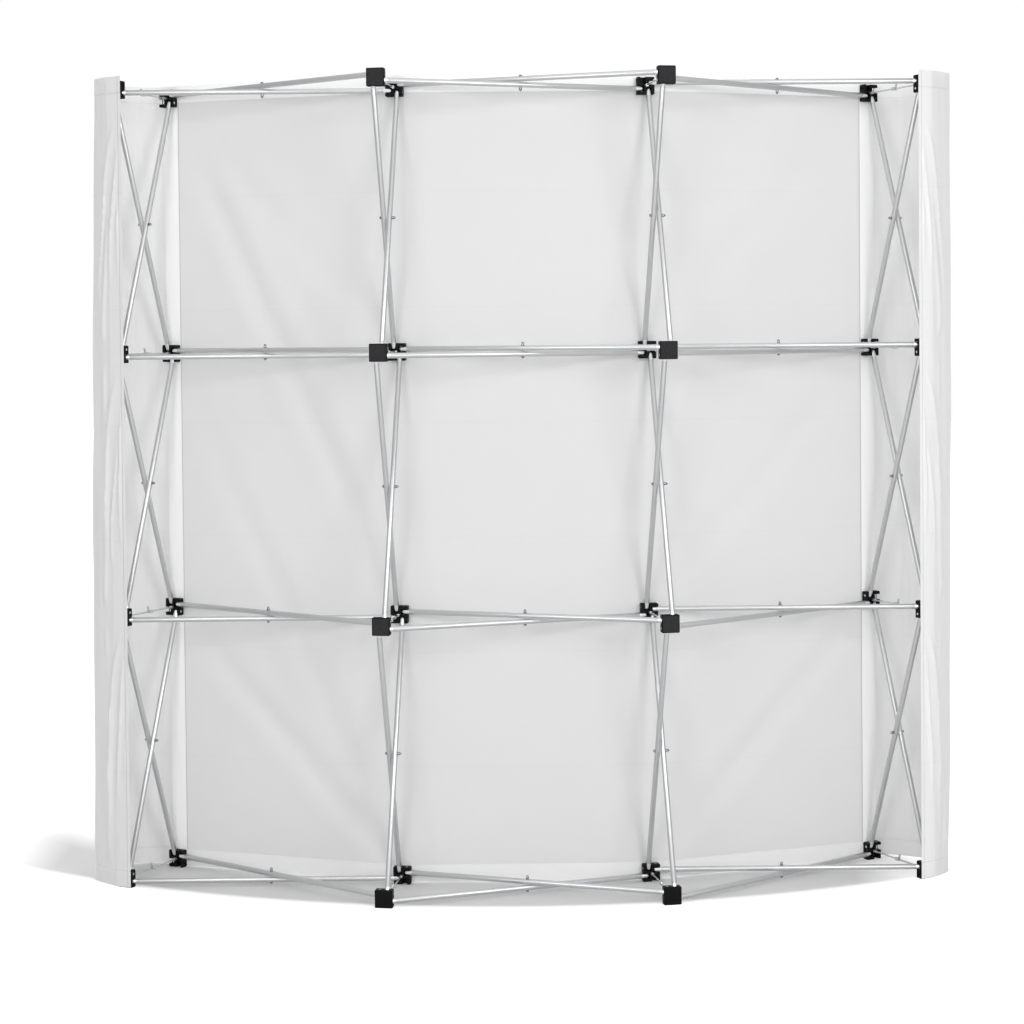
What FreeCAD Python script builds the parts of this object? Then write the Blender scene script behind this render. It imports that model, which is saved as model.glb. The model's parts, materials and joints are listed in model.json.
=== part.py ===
"""Curved banner wall: a pop-up frame of crossed tubes on moulded hubs, with a cloth banner on it.

The wall is a piece of a drum whose axis stands upright on the +Y side. The hubs stand in columns,
each column at its own angle round that axis, in a rear layer and a front layer. The rear of the
wall faces -Y and the banner's show side faces +Y. Lengths are in millimetres, angles in degrees.
"""
import FreeCAD, Part
import math
import os
import Sketcher

COLUMNS = 4
LEVELS = 4
WAYS = ("right", "up", "left", "down")
UPRIGHT_AXIS = "vector(0; 0; 1)"
TANGENT_AXIS = "vector(1; 0; 0)"

DIMENSIONS = {
    # the drum that the hubs stand on
    "rear_radius": 2468,
    "wall_depth": 264,
    "bay_angle": 18.18,
    "tier_height": 736,
    # hub: a square moulding with four slots set like a pinwheel
    "hub_size": 49,
    "hub_depth": 20,
    "hub_corner": 3,
    "hub_edge": 1,
    "plate_thickness": 4.5,
    "slot_offset": 8.1,
    "slot_clearance": 0.3,
    "pivot_reach": 13,
    "pivot_depth": 12.5,
    # pins that hold the tube ends in the hubs
    "pin_diameter": 4,
    "pin_clearance": 0.05,
    "pin_seat": 4,
    "pin_head_diameter": 8,
    "pin_head_height": 1.2,
    "pin_recess": 0.3,
    # tubes and the plugs in their ends
    "tube_diameter": 15,
    "tube_wall": 1,
    "tongue_thickness": 14.6,
    "tongue_width": 14,
    "tongue_length": 17,
    "plug_depth": 22,
    "plug_clearance": 0.05,
    # rivet and washer where two tubes cross
    "rivet_diameter": 4,
    "rivet_clearance": 0.05,
    "rivet_head_diameter": 8.5,
    "rivet_head_height": 4,
    "rivet_cap_height": 10,
    "rivet_cap_tip": 3,
    "washer_diameter": 10,
    "washer_clearance": 0.05,
    # lock between the rear hub and the front hub of a pair
    "socket_diameter": 8,
    "socket_depth": 14,
    "stem_clearance": 0.05,
    "stem_end_gap": 0.5,
    "fork_gap": 4.2,
    "fork_cheek": 2.2,
    "fork_height": 9,
    "fork_root": 4,
    "fork_reach": 16,
    "arm_clearance": 0.3,
    "arm_height": 4.6,
    "hook_length": 10,
    "hook_drop": 4,
    "hook_rise": 5,
    "tab_height": 11,
    "tab_width": 4,
    "tab_lean": 4,
    "lock_pin_diameter": 3,
    "lock_pin_clearance": 0.05,
    "lock_pin_head": 5,
    "lock_pin_head_height": 0.8,
    "latch_rod_diameter": 4.6,
    "latch_collar_diameter": 9,
    "latch_collar_length": 14,
    # hook pads on the hub faces and loop tape on the banner
    "pad_size": 44,
    "pad_thickness": 1.2,
    "tape_width": 48,
    "tape_thickness": 0.8,
    # banner cloth
    "cloth_thickness": 1.5,
    "cloth_floor_gap": 2,
    "cloth_top_margin": 12,
    "left_reach_bottom": 139,
    "left_reach_middle": 124,
    "left_reach_top": 92,
    "right_reach_bottom": 105,
    "right_reach_middle": 123,
    "right_reach_top": 124,
    "fold_swell": 4,
    "fold_dip": 3,
}

LAYOUT = {
    "front_radius": "Dims.rear_radius - Dims.wall_depth",
    "middle_radius": "Dims.rear_radius - Dims.wall_depth / 2",
    "half_bay": "Dims.bay_angle / 2",
    "end_angle": f"Dims.bay_angle * {(COLUMNS - 1) / 2}",
    # the drum's axis, placed so that the origin lies under the middle of the wall's box
    "half_hub": "Dims.hub_size / 2",
    "rear_reach": "(Dims.rear_radius + Dims.pad_thickness) * cos(half_bay) + half_hub * sin(half_bay)",
    "front_reach": "middle_radius * cos(end_angle) - half_hub * sin(end_angle) - Dims.wall_depth / 2",
    "axis_y": "(rear_reach + front_reach) / 2",
    # slots and pins of the hub
    "slot_width": "Dims.tongue_thickness + 2 * Dims.slot_clearance",
    "slot_end": "Dims.pivot_reach - Dims.tongue_width / 2 - 2 * Dims.slot_clearance",
    "pin_length": "Dims.hub_size / 2 - Dims.slot_offset + slot_width / 2 + Dims.pin_seat - Dims.pin_recess",
    "pin_hole": "Dims.pin_diameter + 2 * Dims.pin_clearance",
    "bore_diameter": "Dims.tube_diameter - 2 * Dims.tube_wall",
    # level tubes, seen from above, with the bay's middle line as the Y axis
    "rear_pivot": "Dims.rear_radius - Dims.pivot_depth",
    "front_pivot": "front_radius + Dims.pivot_depth",
    "rear_x": "rear_pivot * sin(half_bay) - Dims.pivot_reach * cos(half_bay)",
    "rear_y": "rear_pivot * cos(half_bay) + Dims.pivot_reach * sin(half_bay)",
    "front_x": "front_pivot * sin(half_bay) - Dims.pivot_reach * cos(half_bay)",
    "front_y": "front_pivot * cos(half_bay) + Dims.pivot_reach * sin(half_bay)",
    "level_span": "sqrt((rear_x + front_x)^2 + (rear_y - front_y)^2)",
    "level_slope": "atan2(rear_y - front_y; rear_x + front_x)",
    "level_crossing": "level_span * rear_x / (rear_x + front_x)",
    "crossing_y": "rear_y - (rear_y - front_y) * rear_x / (rear_x + front_x)",
    # upright tubes, in the plane of their column
    "upright_rise": "Dims.tier_height - 2 * Dims.pivot_reach",
    "upright_run": "rear_pivot - front_pivot",
    "upright_span": "sqrt(upright_rise^2 + upright_run^2)",
    "upright_slope": "atan2(upright_rise; upright_run)",
    # rivets and washers at the crossings
    "rivet_hole": "Dims.rivet_diameter + 2 * Dims.rivet_clearance",
    "rivet_grip": "Dims.slot_offset + Dims.tube_diameter / 2",
    "washer_height": "2 * Dims.slot_offset - Dims.tube_diameter - 2 * Dims.washer_clearance",
    # lock, measured from the rear hub's face towards the front
    "lock_pivot": "Dims.hub_depth + Dims.fork_reach - Dims.fork_height / 2",
    "lock_latch": "Dims.wall_depth / 2",
    "latch_fork_end": "lock_latch + Dims.fork_reach - Dims.fork_height / 2",
    "arm_reach": "lock_latch - lock_pivot",
    "arm_thickness": "Dims.fork_gap - 2 * Dims.arm_clearance",
    "fork_width": "Dims.fork_gap + 2 * Dims.fork_cheek",
    "lock_hole": "Dims.lock_pin_diameter + 2 * Dims.lock_pin_clearance",
    "notch_width": "Dims.lock_pin_diameter + 2 * Dims.arm_clearance",
    "stem_diameter": "Dims.socket_diameter - 2 * Dims.stem_clearance",
    "stem_length": "Dims.socket_depth - Dims.stem_end_gap",
    # banner cloth
    "cloth_top": "Dims.hub_size + Dims.tier_height * %d + Dims.cloth_top_margin" % (LEVELS - 1),
    "tape_radius": "front_radius - Dims.pad_thickness",
    "cloth_radius": "tape_radius - Dims.tape_thickness",
    "flap_radius": "Dims.rear_radius + Dims.pad_thickness",
}

doc = FreeCAD.newDocument("curved_banner_wall")


def fill_sheet(name, cells):
    """A sheet with a name in column A and its value, under that alias, in column B."""
    sheet = doc.addObject("Spreadsheet::Sheet", name)
    for row, (alias, value) in enumerate(cells.items(), start=1):
        sheet.set(f"A{row}", alias)
        sheet.set(f"B{row}", f"={value}" if isinstance(value, str) else str(value))
        sheet.setAlias(f"B{row}", alias)
    doc.recompute()
    return sheet


dims = fill_sheet("Dims", DIMENSIONS)
layout = fill_sheet("Layout", LAYOUT)


# Frames: one for each column and each bay, turned round the drum's axis

def turned_frame(name, steps):
    frame = doc.addObject("App::Placement", name)
    turn = f"rotation({UPRIGHT_AXIS}; {steps} * Dims.bay_angle)"
    frame.setExpression("Placement", f"placement(vector(0; Layout.axis_y; 0); {turn})")
    return name


COLUMN = [turned_frame(f"Column{i + 1}", i - (COLUMNS - 1) / 2) for i in range(COLUMNS)]
BAY = [turned_frame(f"Bay{i + 1}", i - (COLUMNS - 2) / 2) for i in range(COLUMNS - 1)]


def level_height(level):
    return f"Dims.hub_size / 2 + {level} * Dims.tier_height"


def shift(x="0", y="0", z="0", axis=UPRIGHT_AXIS, turn="0"):
    return f"placement(vector({x}; {y}; {z}); rotation({axis}; {turn}))"


def in_frame(frame, *steps):
    return " * ".join([f"{frame}.Placement", *steps])


def hub_frame(column, level, layer):
    """Hub frame: +Z out of the hub's face, +Y up, origin in the middle of the face."""
    outwards = shift(axis=TANGENT_AXIS, turn="90")
    if layer == "rear":
        place = shift(y="-Dims.rear_radius", z=level_height(level))
    else:
        place = shift(y="-Layout.front_radius", z=level_height(level), turn="180")
    return in_frame(COLUMN[column], place, outwards)


def lock_frame(column, level, y="0"):
    """Lock frame: +Y from the rear hub to the front hub, +Z up, +X along the wall."""
    return in_frame(COLUMN[column], shift(y=f"{y} - Dims.rear_radius", z=level_height(level)))


# Sketches and features

def origin_feature(body, role):
    return next(item for item in body.Origin.OriginFeatures if item.Role == role)


def sketch_on(body, name, plane, offset="0"):
    sketch = body.newObject("Sketcher::SketchObject", name)
    sketch.AttachmentSupport = (origin_feature(body, plane), [""])
    sketch.MapMode = "FlatFace"
    sketch.setExpression("AttachmentOffset.Base.z", offset)
    return sketch


def fix_point(sketch, geometry, position, x, y):
    """Tie a sketch point to its two coordinates, given as expressions."""
    for kind, axis, value in (("DistanceX", -2, x), ("DistanceY", -1, y)):
        if value == "0":
            sketch.addConstraint(Sketcher.Constraint("PointOnObject", geometry, position, axis))
            continue
        index = sketch.addConstraint(Sketcher.Constraint(kind, -1, 1, geometry, position, 1.0))
        sketch.setExpression(f"Constraints[{index}]", value)


def add_circle(sketch, x, y, diameter):
    ring = sketch.addGeometry(Part.Circle(FreeCAD.Vector(1, 1, 0), FreeCAD.Vector(0, 0, 1), 1), False)
    fix_point(sketch, ring, 3, x, y)
    index = sketch.addConstraint(Sketcher.Constraint("Diameter", ring, 2.0))
    sketch.setExpression(f"Constraints[{index}]", diameter)


def add_outline(sketch, corners):
    """A closed run of straight lines through corners given as pairs of expressions."""
    count = len(corners)
    spots = [FreeCAD.Vector(math.cos(2 * math.pi * k / count), math.sin(2 * math.pi * k / count), 0)
             for k in range(count)]
    lines = [sketch.addGeometry(Part.LineSegment(spots[k], spots[(k + 1) % count]), False)
             for k in range(count)]
    for k, (x, y) in enumerate(corners):
        sketch.addConstraint(Sketcher.Constraint("Coincident", lines[k - 1], 2, lines[k], 1))
        fix_point(sketch, lines[k], 1, x, y)


def add_rectangle(sketch, left, bottom, right, top):
    add_outline(sketch, [(left, bottom), (right, bottom), (right, top), (left, top)])


def add_feature(body, kind, name, sketch, length, reverse=False, both_sides=False):
    feature = body.newObject(f"PartDesign::{kind}", name)
    feature.Profile = sketch
    feature.setExpression("Length", length)
    feature.Reversed = reverse
    feature.Midplane = both_sides
    doc.recompute()
    return feature


def add_turned(body, name, corners):
    """A solid turned round the body's Z axis from an outline of (radius, height) corners."""
    sketch = sketch_on(body, f"{name}_outline", "XZ_Plane")
    add_outline(sketch, corners)
    turned = body.newObject("PartDesign::Revolution", name)
    turned.Profile = sketch
    turned.ReferenceAxis = (sketch, ["V_Axis"])
    turned.Angle = 360
    doc.recompute()
    return turned


# Primitives and booleans

def add_box(name, low, high):
    solid = doc.addObject("Part::Box", name)
    for axis, side, start, end in zip("xyz", ("Length", "Width", "Height"), low, high):
        solid.setExpression(f"Placement.Base.{axis}", start)
        solid.setExpression(side, f"({end}) - ({start})")
    return solid


def add_rod(name, axis, start, length, diameter):
    solid = doc.addObject("Part::Cylinder", name)
    turns = {"x": ((0, 1, 0), 90), "y": ((1, 0, 0), -90), "z": ((0, 0, 1), 0)}
    direction, angle = turns[axis]
    solid.Placement = FreeCAD.Placement(FreeCAD.Vector(), FreeCAD.Rotation(FreeCAD.Vector(direction), angle))
    for letter, place in zip("xyz", start):
        solid.setExpression(f"Placement.Base.{letter}", place)
    solid.setExpression("Height", length)
    solid.setExpression("Radius", f"({diameter}) / 2")
    return solid


def add_fuse(name, solids):
    joined = doc.addObject("Part::MultiFuse", name)
    joined.Shapes = solids
    joined.Refine = True
    return joined


def add_cut(name, solid, tool):
    rest = doc.addObject("Part::Cut", name)
    rest.Base = solid
    rest.Tool = tool
    rest.Refine = True
    return rest


# Nodes: what is written out

NODES = []


def add_node(label, template, places):
    """One named node: linked copies of a template, each with its own placement."""
    copies = []
    for number, place in enumerate(places, start=1):
        copy = doc.addObject("App::Link", f"{label}_copy_{number}")
        copy.LinkedObject = template
        copy.setExpression("Placement", place)
        copies.append(copy)
    node = doc.addObject("Part::Compound", label)
    node.Label = label
    node.Links = copies
    NODES.append(node)


def add_cloth_node(label, shape):
    node = doc.addObject("Part::Feature", label)
    node.Label = label
    node.Shape = shape
    node.Placement = FreeCAD.Placement()
    NODES.append(node)


# Hubs

def make_hub():
    body = doc.addObject("PartDesign::Body", "hub")
    half = "Dims.hub_size / 2"
    outline = sketch_on(body, "hub_outline", "XY_Plane")
    add_rectangle(outline, f"-{half}", f"-{half}", half, half)
    block = add_feature(body, "Pad", "hub_block", outline, "Dims.hub_depth", reverse=True)

    corners = body.newObject("PartDesign::Fillet", "hub_corners")
    standing = [f"Edge{k}" for k, edge in enumerate(block.Shape.Edges, start=1)
                if abs(edge.tangentAt(edge.FirstParameter).z) > 0.99]
    corners.Base = (block, standing)
    corners.setExpression("Radius", "Dims.hub_corner")
    doc.recompute()

    rim = body.newObject("PartDesign::Chamfer", "hub_rim")
    face = max(range(len(corners.Shape.Faces)), key=lambda k: corners.Shape.Faces[k].CenterOfMass.z)
    rim.Base = (corners, [f"Face{face + 1}"])
    rim.setExpression("Size", "Dims.hub_edge")
    doc.recompute()

    slot_sketch = sketch_on(body, "slot_outline", "XY_Plane", "-Dims.hub_depth")
    low = "-Dims.slot_offset - Layout.slot_width / 2"
    high = "-Dims.slot_offset + Layout.slot_width / 2"
    add_rectangle(slot_sketch, "Layout.slot_end", low, "Dims.hub_size", high)
    slot_depth = "Dims.hub_depth - Dims.plate_thickness"
    slot = add_feature(body, "Pocket", "slot", slot_sketch, slot_depth, reverse=True)

    hole_sketch = sketch_on(body, "pin_hole_outline", "XZ_Plane", half)
    add_circle(hole_sketch, "Dims.pivot_reach", "-Dims.pivot_depth", "Layout.pin_hole")
    hole = add_feature(body, "Pocket", "pin_hole", hole_sketch, "Layout.pin_length + Dims.pin_recess")

    seat_sketch = sketch_on(body, "pin_head_outline", "XZ_Plane", half)
    seat_diameter = "Dims.pin_head_diameter + 2 * Dims.pin_clearance"
    add_circle(seat_sketch, "Dims.pivot_reach", "-Dims.pivot_depth", seat_diameter)
    seat_depth = "Dims.pin_head_height + Dims.pin_recess"
    seat = add_feature(body, "Pocket", "pin_head_seat", seat_sketch, seat_depth)

    pattern = body.newObject("PartDesign::PolarPattern", "four_ways")
    pattern.Originals = [slot, hole, seat]
    pattern.Axis = (origin_feature(body, "Z_Axis"), [""])
    pattern.Angle = 360
    pattern.Occurrences = len(WAYS)
    body.Tip = pattern
    doc.recompute()

    socket_sketch = sketch_on(body, "socket_outline", "XY_Plane", "-Dims.hub_depth")
    add_circle(socket_sketch, "0", "0", "Dims.socket_diameter")
    add_feature(body, "Pocket", "socket", socket_sketch, "Dims.socket_depth", reverse=True)
    return body


def make_pin():
    """Pin, standing on its head at the origin."""
    body = doc.addObject("PartDesign::Body", "pin")
    shank = "Dims.pin_diameter / 2"
    head = "Dims.pin_head_diameter / 2"
    add_turned(body, "pin_shape", [("0", "0"), (head, "0"), (head, "Dims.pin_head_height"),
                                   (shank, "Dims.pin_head_height"), (shank, "Layout.pin_length"),
                                   ("0", "Layout.pin_length")])
    return body


def pin_frame(column, level, layer, way):
    turn = shift(turn=f"{WAYS.index(way)} * 360 / {len(WAYS)}")
    seat = shift(x="Dims.pivot_reach", y="Dims.pin_recess - Dims.hub_size / 2", z="-Dims.pivot_depth",
                 axis=TANGENT_AXIS, turn="-90")
    return " * ".join([hub_frame(column, level, layer), turn, seat])


def used_ways(column, level, layer):
    """The hub's slots that hold a tube: none point off the ends, the top or the bottom."""
    along = {"right": column < COLUMNS - 1, "left": column > 0}
    if layer == "front":
        along = {"right": along["left"], "left": along["right"]}
    return {**along, "up": level < LEVELS - 1, "down": level > 0}


def build_hubs():
    hub = make_hub()
    for layer in ("rear", "front"):
        for column in range(COLUMNS):
            places = [hub_frame(column, level, layer) for level in range(LEVELS)]
            add_node(f"{layer}_hubs_column_{column + 1}", hub, places)
    pin = make_pin()
    for label, ways in (("level_hub_pins", ("right", "left")), ("upright_hub_pins", ("up", "down"))):
        places = [pin_frame(column, level, layer, way)
                  for layer in ("rear", "front") for column in range(COLUMNS) for level in range(LEVELS)
                  for way in ways if used_ways(column, level, layer)[way]]
        add_node(label, pin, places)


# Tubes

def make_tube(name, span, crossing):
    """Tube along +X, measured from its rear pivot, drilled for the rivet at the crossing."""
    body = doc.addObject("PartDesign::Body", name)
    ring = sketch_on(body, f"{name}_ring", "YZ_Plane", "Dims.tongue_length")
    add_circle(ring, "0", "0", "Dims.tube_diameter")
    add_circle(ring, "0", "0", "Layout.bore_diameter")
    add_feature(body, "Pad", f"{name}_wall", ring, f"{span} - 2 * Dims.tongue_length")
    drill = sketch_on(body, f"{name}_drill", "XY_Plane")
    add_circle(drill, crossing, "0", "Layout.rivet_hole")
    add_feature(body, "Pocket", f"{name}_rivet_hole", drill, "2 * Dims.tube_diameter", both_sides=True)
    return body


def make_plug():
    """End plug: a round-nosed tongue on the pivot at the origin, and a shank inside the tube."""
    half_width = "Dims.tongue_width / 2"
    half_thick = "Dims.tongue_thickness / 2"
    flat = add_box("tongue_flat", ("0", f"-{half_width}", f"-{half_thick}"),
                   ("Dims.tongue_length", half_width, half_thick))
    nose = add_rod("tongue_nose", "z", ("0", "0", f"-{half_thick}"), "Dims.tongue_thickness",
                   "Dims.tongue_width")
    tongue = add_fuse("tongue_blank", [flat, nose])
    bar = add_rod("tongue_bar", "x", ("-Dims.tongue_width", "0", "0"),
                  "Dims.tongue_length + Dims.tongue_width", "Dims.tube_diameter")
    rounded = doc.addObject("Part::MultiCommon", "tongue")
    rounded.Shapes = [tongue, bar]
    shank = add_rod("plug_shank", "x", ("Dims.tongue_length", "0", "0"), "Dims.plug_depth",
                    "Layout.bore_diameter - 2 * Dims.plug_clearance")
    whole = add_fuse("plug_blank", [rounded, shank])
    hole = add_rod("plug_hole", "z", ("0", "0", "-Dims.tube_diameter / 2"), "Dims.tube_diameter",
                   "Layout.pin_hole")
    return add_cut("plug", whole, hole)


def level_tube_frames(bay, level):
    """The two crossing tubes of a bay: the low one runs rear left to front right."""
    height = level_height(level)
    low = shift("-Layout.rear_x", "-Layout.rear_y", f"{height} - Dims.slot_offset", turn="Layout.level_slope")
    high = shift("Layout.rear_x", "-Layout.rear_y", f"{height} + Dims.slot_offset",
                 turn="180 deg - Layout.level_slope")
    return [in_frame(BAY[bay], low), in_frame(BAY[bay], high)]


def upright_tube_frames(column, tier):
    """The two crossing tubes of a tier: one climbs to the front, the other to the rear."""
    foot = f"{level_height(tier)} + Dims.pivot_reach"
    lay_down = shift(axis="vector(1; 1; 1)", turn="120")
    to_front = shift("Dims.slot_offset", "-Layout.rear_pivot", foot, TANGENT_AXIS, "Layout.upright_slope")
    to_rear = shift("-Dims.slot_offset", "-Layout.front_pivot", foot, TANGENT_AXIS,
                    "180 deg - Layout.upright_slope")
    return [in_frame(COLUMN[column], climb, lay_down) for climb in (to_front, to_rear)]


def both_ends(frames, span):
    far_end = shift(x=span, turn="180")
    return [place for frame in frames for place in (frame, f"{frame} * {far_end}")]


def make_rivet():
    """Rivet along Z, its grip's middle at the origin: a low head below and a pointed cap on top."""
    body = doc.addObject("PartDesign::Body", "rivet")
    shank = "Dims.rivet_diameter / 2"
    head = "Dims.rivet_head_diameter / 2"
    tip = "Dims.rivet_cap_tip / 2"
    grip = "Layout.rivet_grip"
    add_turned(body, "rivet_shape", [
        ("0", f"-{grip} - Dims.rivet_head_height"), (shank, f"-{grip} - Dims.rivet_head_height"),
        (head, f"-{grip} - Dims.rivet_head_height / 2"), (head, f"-{grip}"), (shank, f"-{grip}"),
        (shank, grip), (head, grip), (head, f"{grip} + Dims.rivet_cap_height / 2"),
        (tip, f"{grip} + Dims.rivet_cap_height"), ("0", f"{grip} + Dims.rivet_cap_height")])
    return body


def level_crossing(bay, level):
    """Crossing of a bay's level tubes, Z towards the rivet's cap: up, but down at the top level."""
    turn = "180" if level == LEVELS - 1 else "0"
    place = shift(y="-Layout.crossing_y", z=level_height(level), axis=TANGENT_AXIS, turn=turn)
    return in_frame(BAY[bay], place)


def upright_crossing(column, tier):
    """Crossing of a column's upright tubes, Z towards the rivet's cap: right, but left at the last column."""
    turn = "-90" if column == COLUMNS - 1 else "90"
    place = shift(y="-Layout.middle_radius", z=level_height(tier + 0.5), axis="vector(0; 1; 0)", turn=turn)
    return in_frame(COLUMN[column], place)


def make_washer():
    body = doc.addObject("PartDesign::Body", "washer")
    outline = sketch_on(body, "washer_outline", "XY_Plane")
    add_circle(outline, "0", "0", "Dims.washer_diameter")
    add_circle(outline, "0", "0", "Layout.rivet_hole")
    add_feature(body, "Pad", "washer_disc", outline, "Layout.washer_height", both_sides=True)
    return body


def build_tubes():
    level_tube = make_tube("level_tube", "Layout.level_span", "Layout.level_crossing")
    upright_tube = make_tube("upright_tube", "Layout.upright_span", "Layout.upright_span / 2")
    plug = make_plug()
    level_frames = []
    for level in range(LEVELS):
        frames = [frame for bay in range(COLUMNS - 1) for frame in level_tube_frames(bay, level)]
        add_node(f"level_tubes_{level + 1}", level_tube, frames)
        level_frames += frames
    upright_frames = []
    for column in range(COLUMNS):
        frames = [frame for tier in range(LEVELS - 1) for frame in upright_tube_frames(column, tier)]
        add_node(f"upright_tubes_column_{column + 1}", upright_tube, frames)
        upright_frames += frames
    add_node("level_tube_plugs", plug, both_ends(level_frames, "Layout.level_span"))
    add_node("upright_tube_plugs", plug, both_ends(upright_frames, "Layout.upright_span"))

    level_crossings = [level_crossing(bay, level) for bay in range(COLUMNS - 1) for level in range(LEVELS)]
    upright_crossings = [upright_crossing(column, tier)
                         for column in range(COLUMNS) for tier in range(LEVELS - 1)]
    rivet = make_rivet()
    add_node("level_crossing_rivets", rivet, level_crossings)
    add_node("upright_crossing_rivets", rivet, upright_crossings)
    add_node("crossing_washers", make_washer(), level_crossings + upright_crossings)


# Locks

def make_fork(name, cheeks, root, eye):
    """Two cheeks along Y joined by a root, each given by its two ends, and a cross hole for a pin."""
    half_gap = "Dims.fork_gap / 2"
    half_width = "Layout.fork_width / 2"
    half_height = "Dims.fork_height / 2"
    blocks = [("root", f"-{half_width}", half_width, root),
              ("left_cheek", f"-{half_width}", f"-{half_gap}", cheeks),
              ("right_cheek", half_gap, half_width, cheeks)]
    solids = [add_box(f"{name}_{block}", (left, ends[0], f"-{half_height}"), (right, ends[1], half_height))
              for block, left, right, ends in blocks]
    hole = add_rod(f"{name}_eye", "x", (f"-{half_width}", eye, "0"), "Layout.fork_width", "Layout.lock_hole")
    return solids, hole


def make_bracket():
    """Rear fork of a lock: its stem fills the rear hub's socket."""
    seat = "Dims.hub_depth"
    solids, hole = make_fork("hook_bracket", (seat, f"{seat} + Dims.fork_reach"),
                             (seat, f"{seat} + Dims.fork_root"), "Layout.lock_pivot")
    stem = add_rod("hook_bracket_stem", "y", ("0", f"{seat} - Layout.stem_length", "0"),
                   "Layout.stem_length", "Layout.stem_diameter")
    return add_cut("hook_bracket", add_fuse("hook_bracket_blank", [*solids, stem]), hole)


def make_latch_rod():
    """Front half of a lock: a stem in the front hub's socket, a collar, a rod and the latch pin's fork."""
    seat = "Dims.wall_depth - Dims.hub_depth"
    fork_tip = "Layout.lock_latch - Dims.fork_height / 2"
    fork_end = "Layout.latch_fork_end"
    solids, hole = make_fork("latch_rod", (fork_tip, fork_end), (f"{fork_end} - Dims.fork_root", fork_end),
                             "Layout.lock_latch")
    rod = add_rod("latch_rod_bar", "y", ("0", fork_end, "0"), f"{seat} - {fork_end}",
                  "Dims.latch_rod_diameter")
    collar = add_rod("latch_rod_collar", "y", ("0", f"{seat} - Dims.latch_collar_length", "0"),
                     "Dims.latch_collar_length", "Dims.latch_collar_diameter")
    stem = add_rod("latch_rod_stem", "y", ("0", seat, "0"), "Layout.stem_length", "Layout.stem_diameter")
    return add_cut("latch_rod", add_fuse("latch_rod_blank", [*solids, rod, collar, stem]), hole)


def make_lock_pin():
    """Pin along X through a fork, with a flat head on each side."""
    half = "Layout.fork_width / 2"
    shank = add_rod("lock_pin_shank", "x", (f"-{half}", "0", "0"), "Layout.fork_width",
                    "Dims.lock_pin_diameter")
    heads = [add_rod(f"lock_pin_{side}_head", "x", (start, "0", "0"), "Dims.lock_pin_head_height",
                     "Dims.lock_pin_head")
             for side, start in (("left", f"-{half} - Dims.lock_pin_head_height"), ("right", half))]
    return add_fuse("lock_pin", [shank, *heads])


def make_hook_arm():
    """Hook arm: an eye at the origin, a flat bar along +Y, a hook open downwards and a finger tab."""
    body = doc.addObject("PartDesign::Body", "hook_arm")
    reach = "Layout.arm_reach"
    bar = "Dims.arm_height / 2"
    back = f"{reach} - Dims.hook_length / 2"
    tip = f"{reach} + Dims.hook_length / 2"
    notch_top = "Layout.notch_width / 2"
    notch_back = f"{reach} - Layout.notch_width / 2"
    notch_front = f"{reach} + Layout.notch_width / 2"
    tab_top = "Dims.hook_rise + Dims.tab_height"
    outline = sketch_on(body, "hook_outline", "YZ_Plane")
    add_outline(outline, [
        ("0", f"-{bar}"), (back, f"-{bar}"), (back, "-Dims.hook_drop"), (notch_back, "-Dims.hook_drop"),
        (notch_back, notch_top), (notch_front, notch_top), (notch_front, "-Dims.hook_drop"),
        (tip, "-Dims.hook_drop"), (tip, "Dims.hook_rise"), (f"{back} + Dims.tab_width", "Dims.hook_rise"),
        (f"{back} + Dims.tab_width - Dims.tab_lean", tab_top), (f"{back} - Dims.tab_lean", tab_top),
        (back, "Dims.hook_rise"), (back, bar), ("0", bar)])
    add_feature(body, "Pad", "hook_bar", outline, "Layout.arm_thickness", both_sides=True)
    eye = sketch_on(body, "hook_eye_outline", "YZ_Plane")
    add_circle(eye, "0", "0", "Dims.fork_height")
    add_feature(body, "Pad", "hook_eye", eye, "Layout.arm_thickness", both_sides=True)
    hole = sketch_on(body, "hook_hole_outline", "YZ_Plane")
    add_circle(hole, "0", "0", "Layout.lock_hole")
    add_feature(body, "Pocket", "hook_hole", hole, "2 * Layout.arm_thickness", both_sides=True)
    return body


def build_locks():
    pairs = [(column, level) for column in range(COLUMNS) for level in range(LEVELS)]
    add_node("hook_brackets", make_bracket(), [lock_frame(*pair) for pair in pairs])
    add_node("latch_rods", make_latch_rod(), [lock_frame(*pair) for pair in pairs])
    lock_pin = make_lock_pin()
    add_node("hook_pivot_pins", lock_pin, [lock_frame(*pair, y="Layout.lock_pivot") for pair in pairs])
    add_node("latch_pins", lock_pin, [lock_frame(*pair, y="Layout.lock_latch") for pair in pairs])
    hook_arm = make_hook_arm()
    for column, level in pairs:
        place = lock_frame(column, level, y="Layout.lock_pivot")
        add_node(f"hook_arm_column_{column + 1}_level_{level + 1}", hook_arm, [place])


# Banner: pads on the hubs, loop tape, front panel and end wraps

def make_pad():
    body = doc.addObject("PartDesign::Body", "hook_pad")
    half = "Dims.pad_size / 2"
    outline = sketch_on(body, "pad_outline", "XY_Plane")
    add_rectangle(outline, f"-{half}", f"-{half}", half, half)
    add_feature(body, "Pad", "pad_sheet", outline, "Dims.pad_thickness")
    return body


def build_pads():
    pad = make_pad()
    end_columns = (0, COLUMNS - 1)
    rear = [hub_frame(column, level, "rear") for column in range(COLUMNS) for level in range(LEVELS)
            if level > 0 or column in end_columns]
    front = [hub_frame(column, level, "front") for column in range(COLUMNS) for level in range(LEVELS)]
    add_node("rear_hook_pads", pad, rear)
    add_node("front_hook_pads", pad, front)


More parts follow.
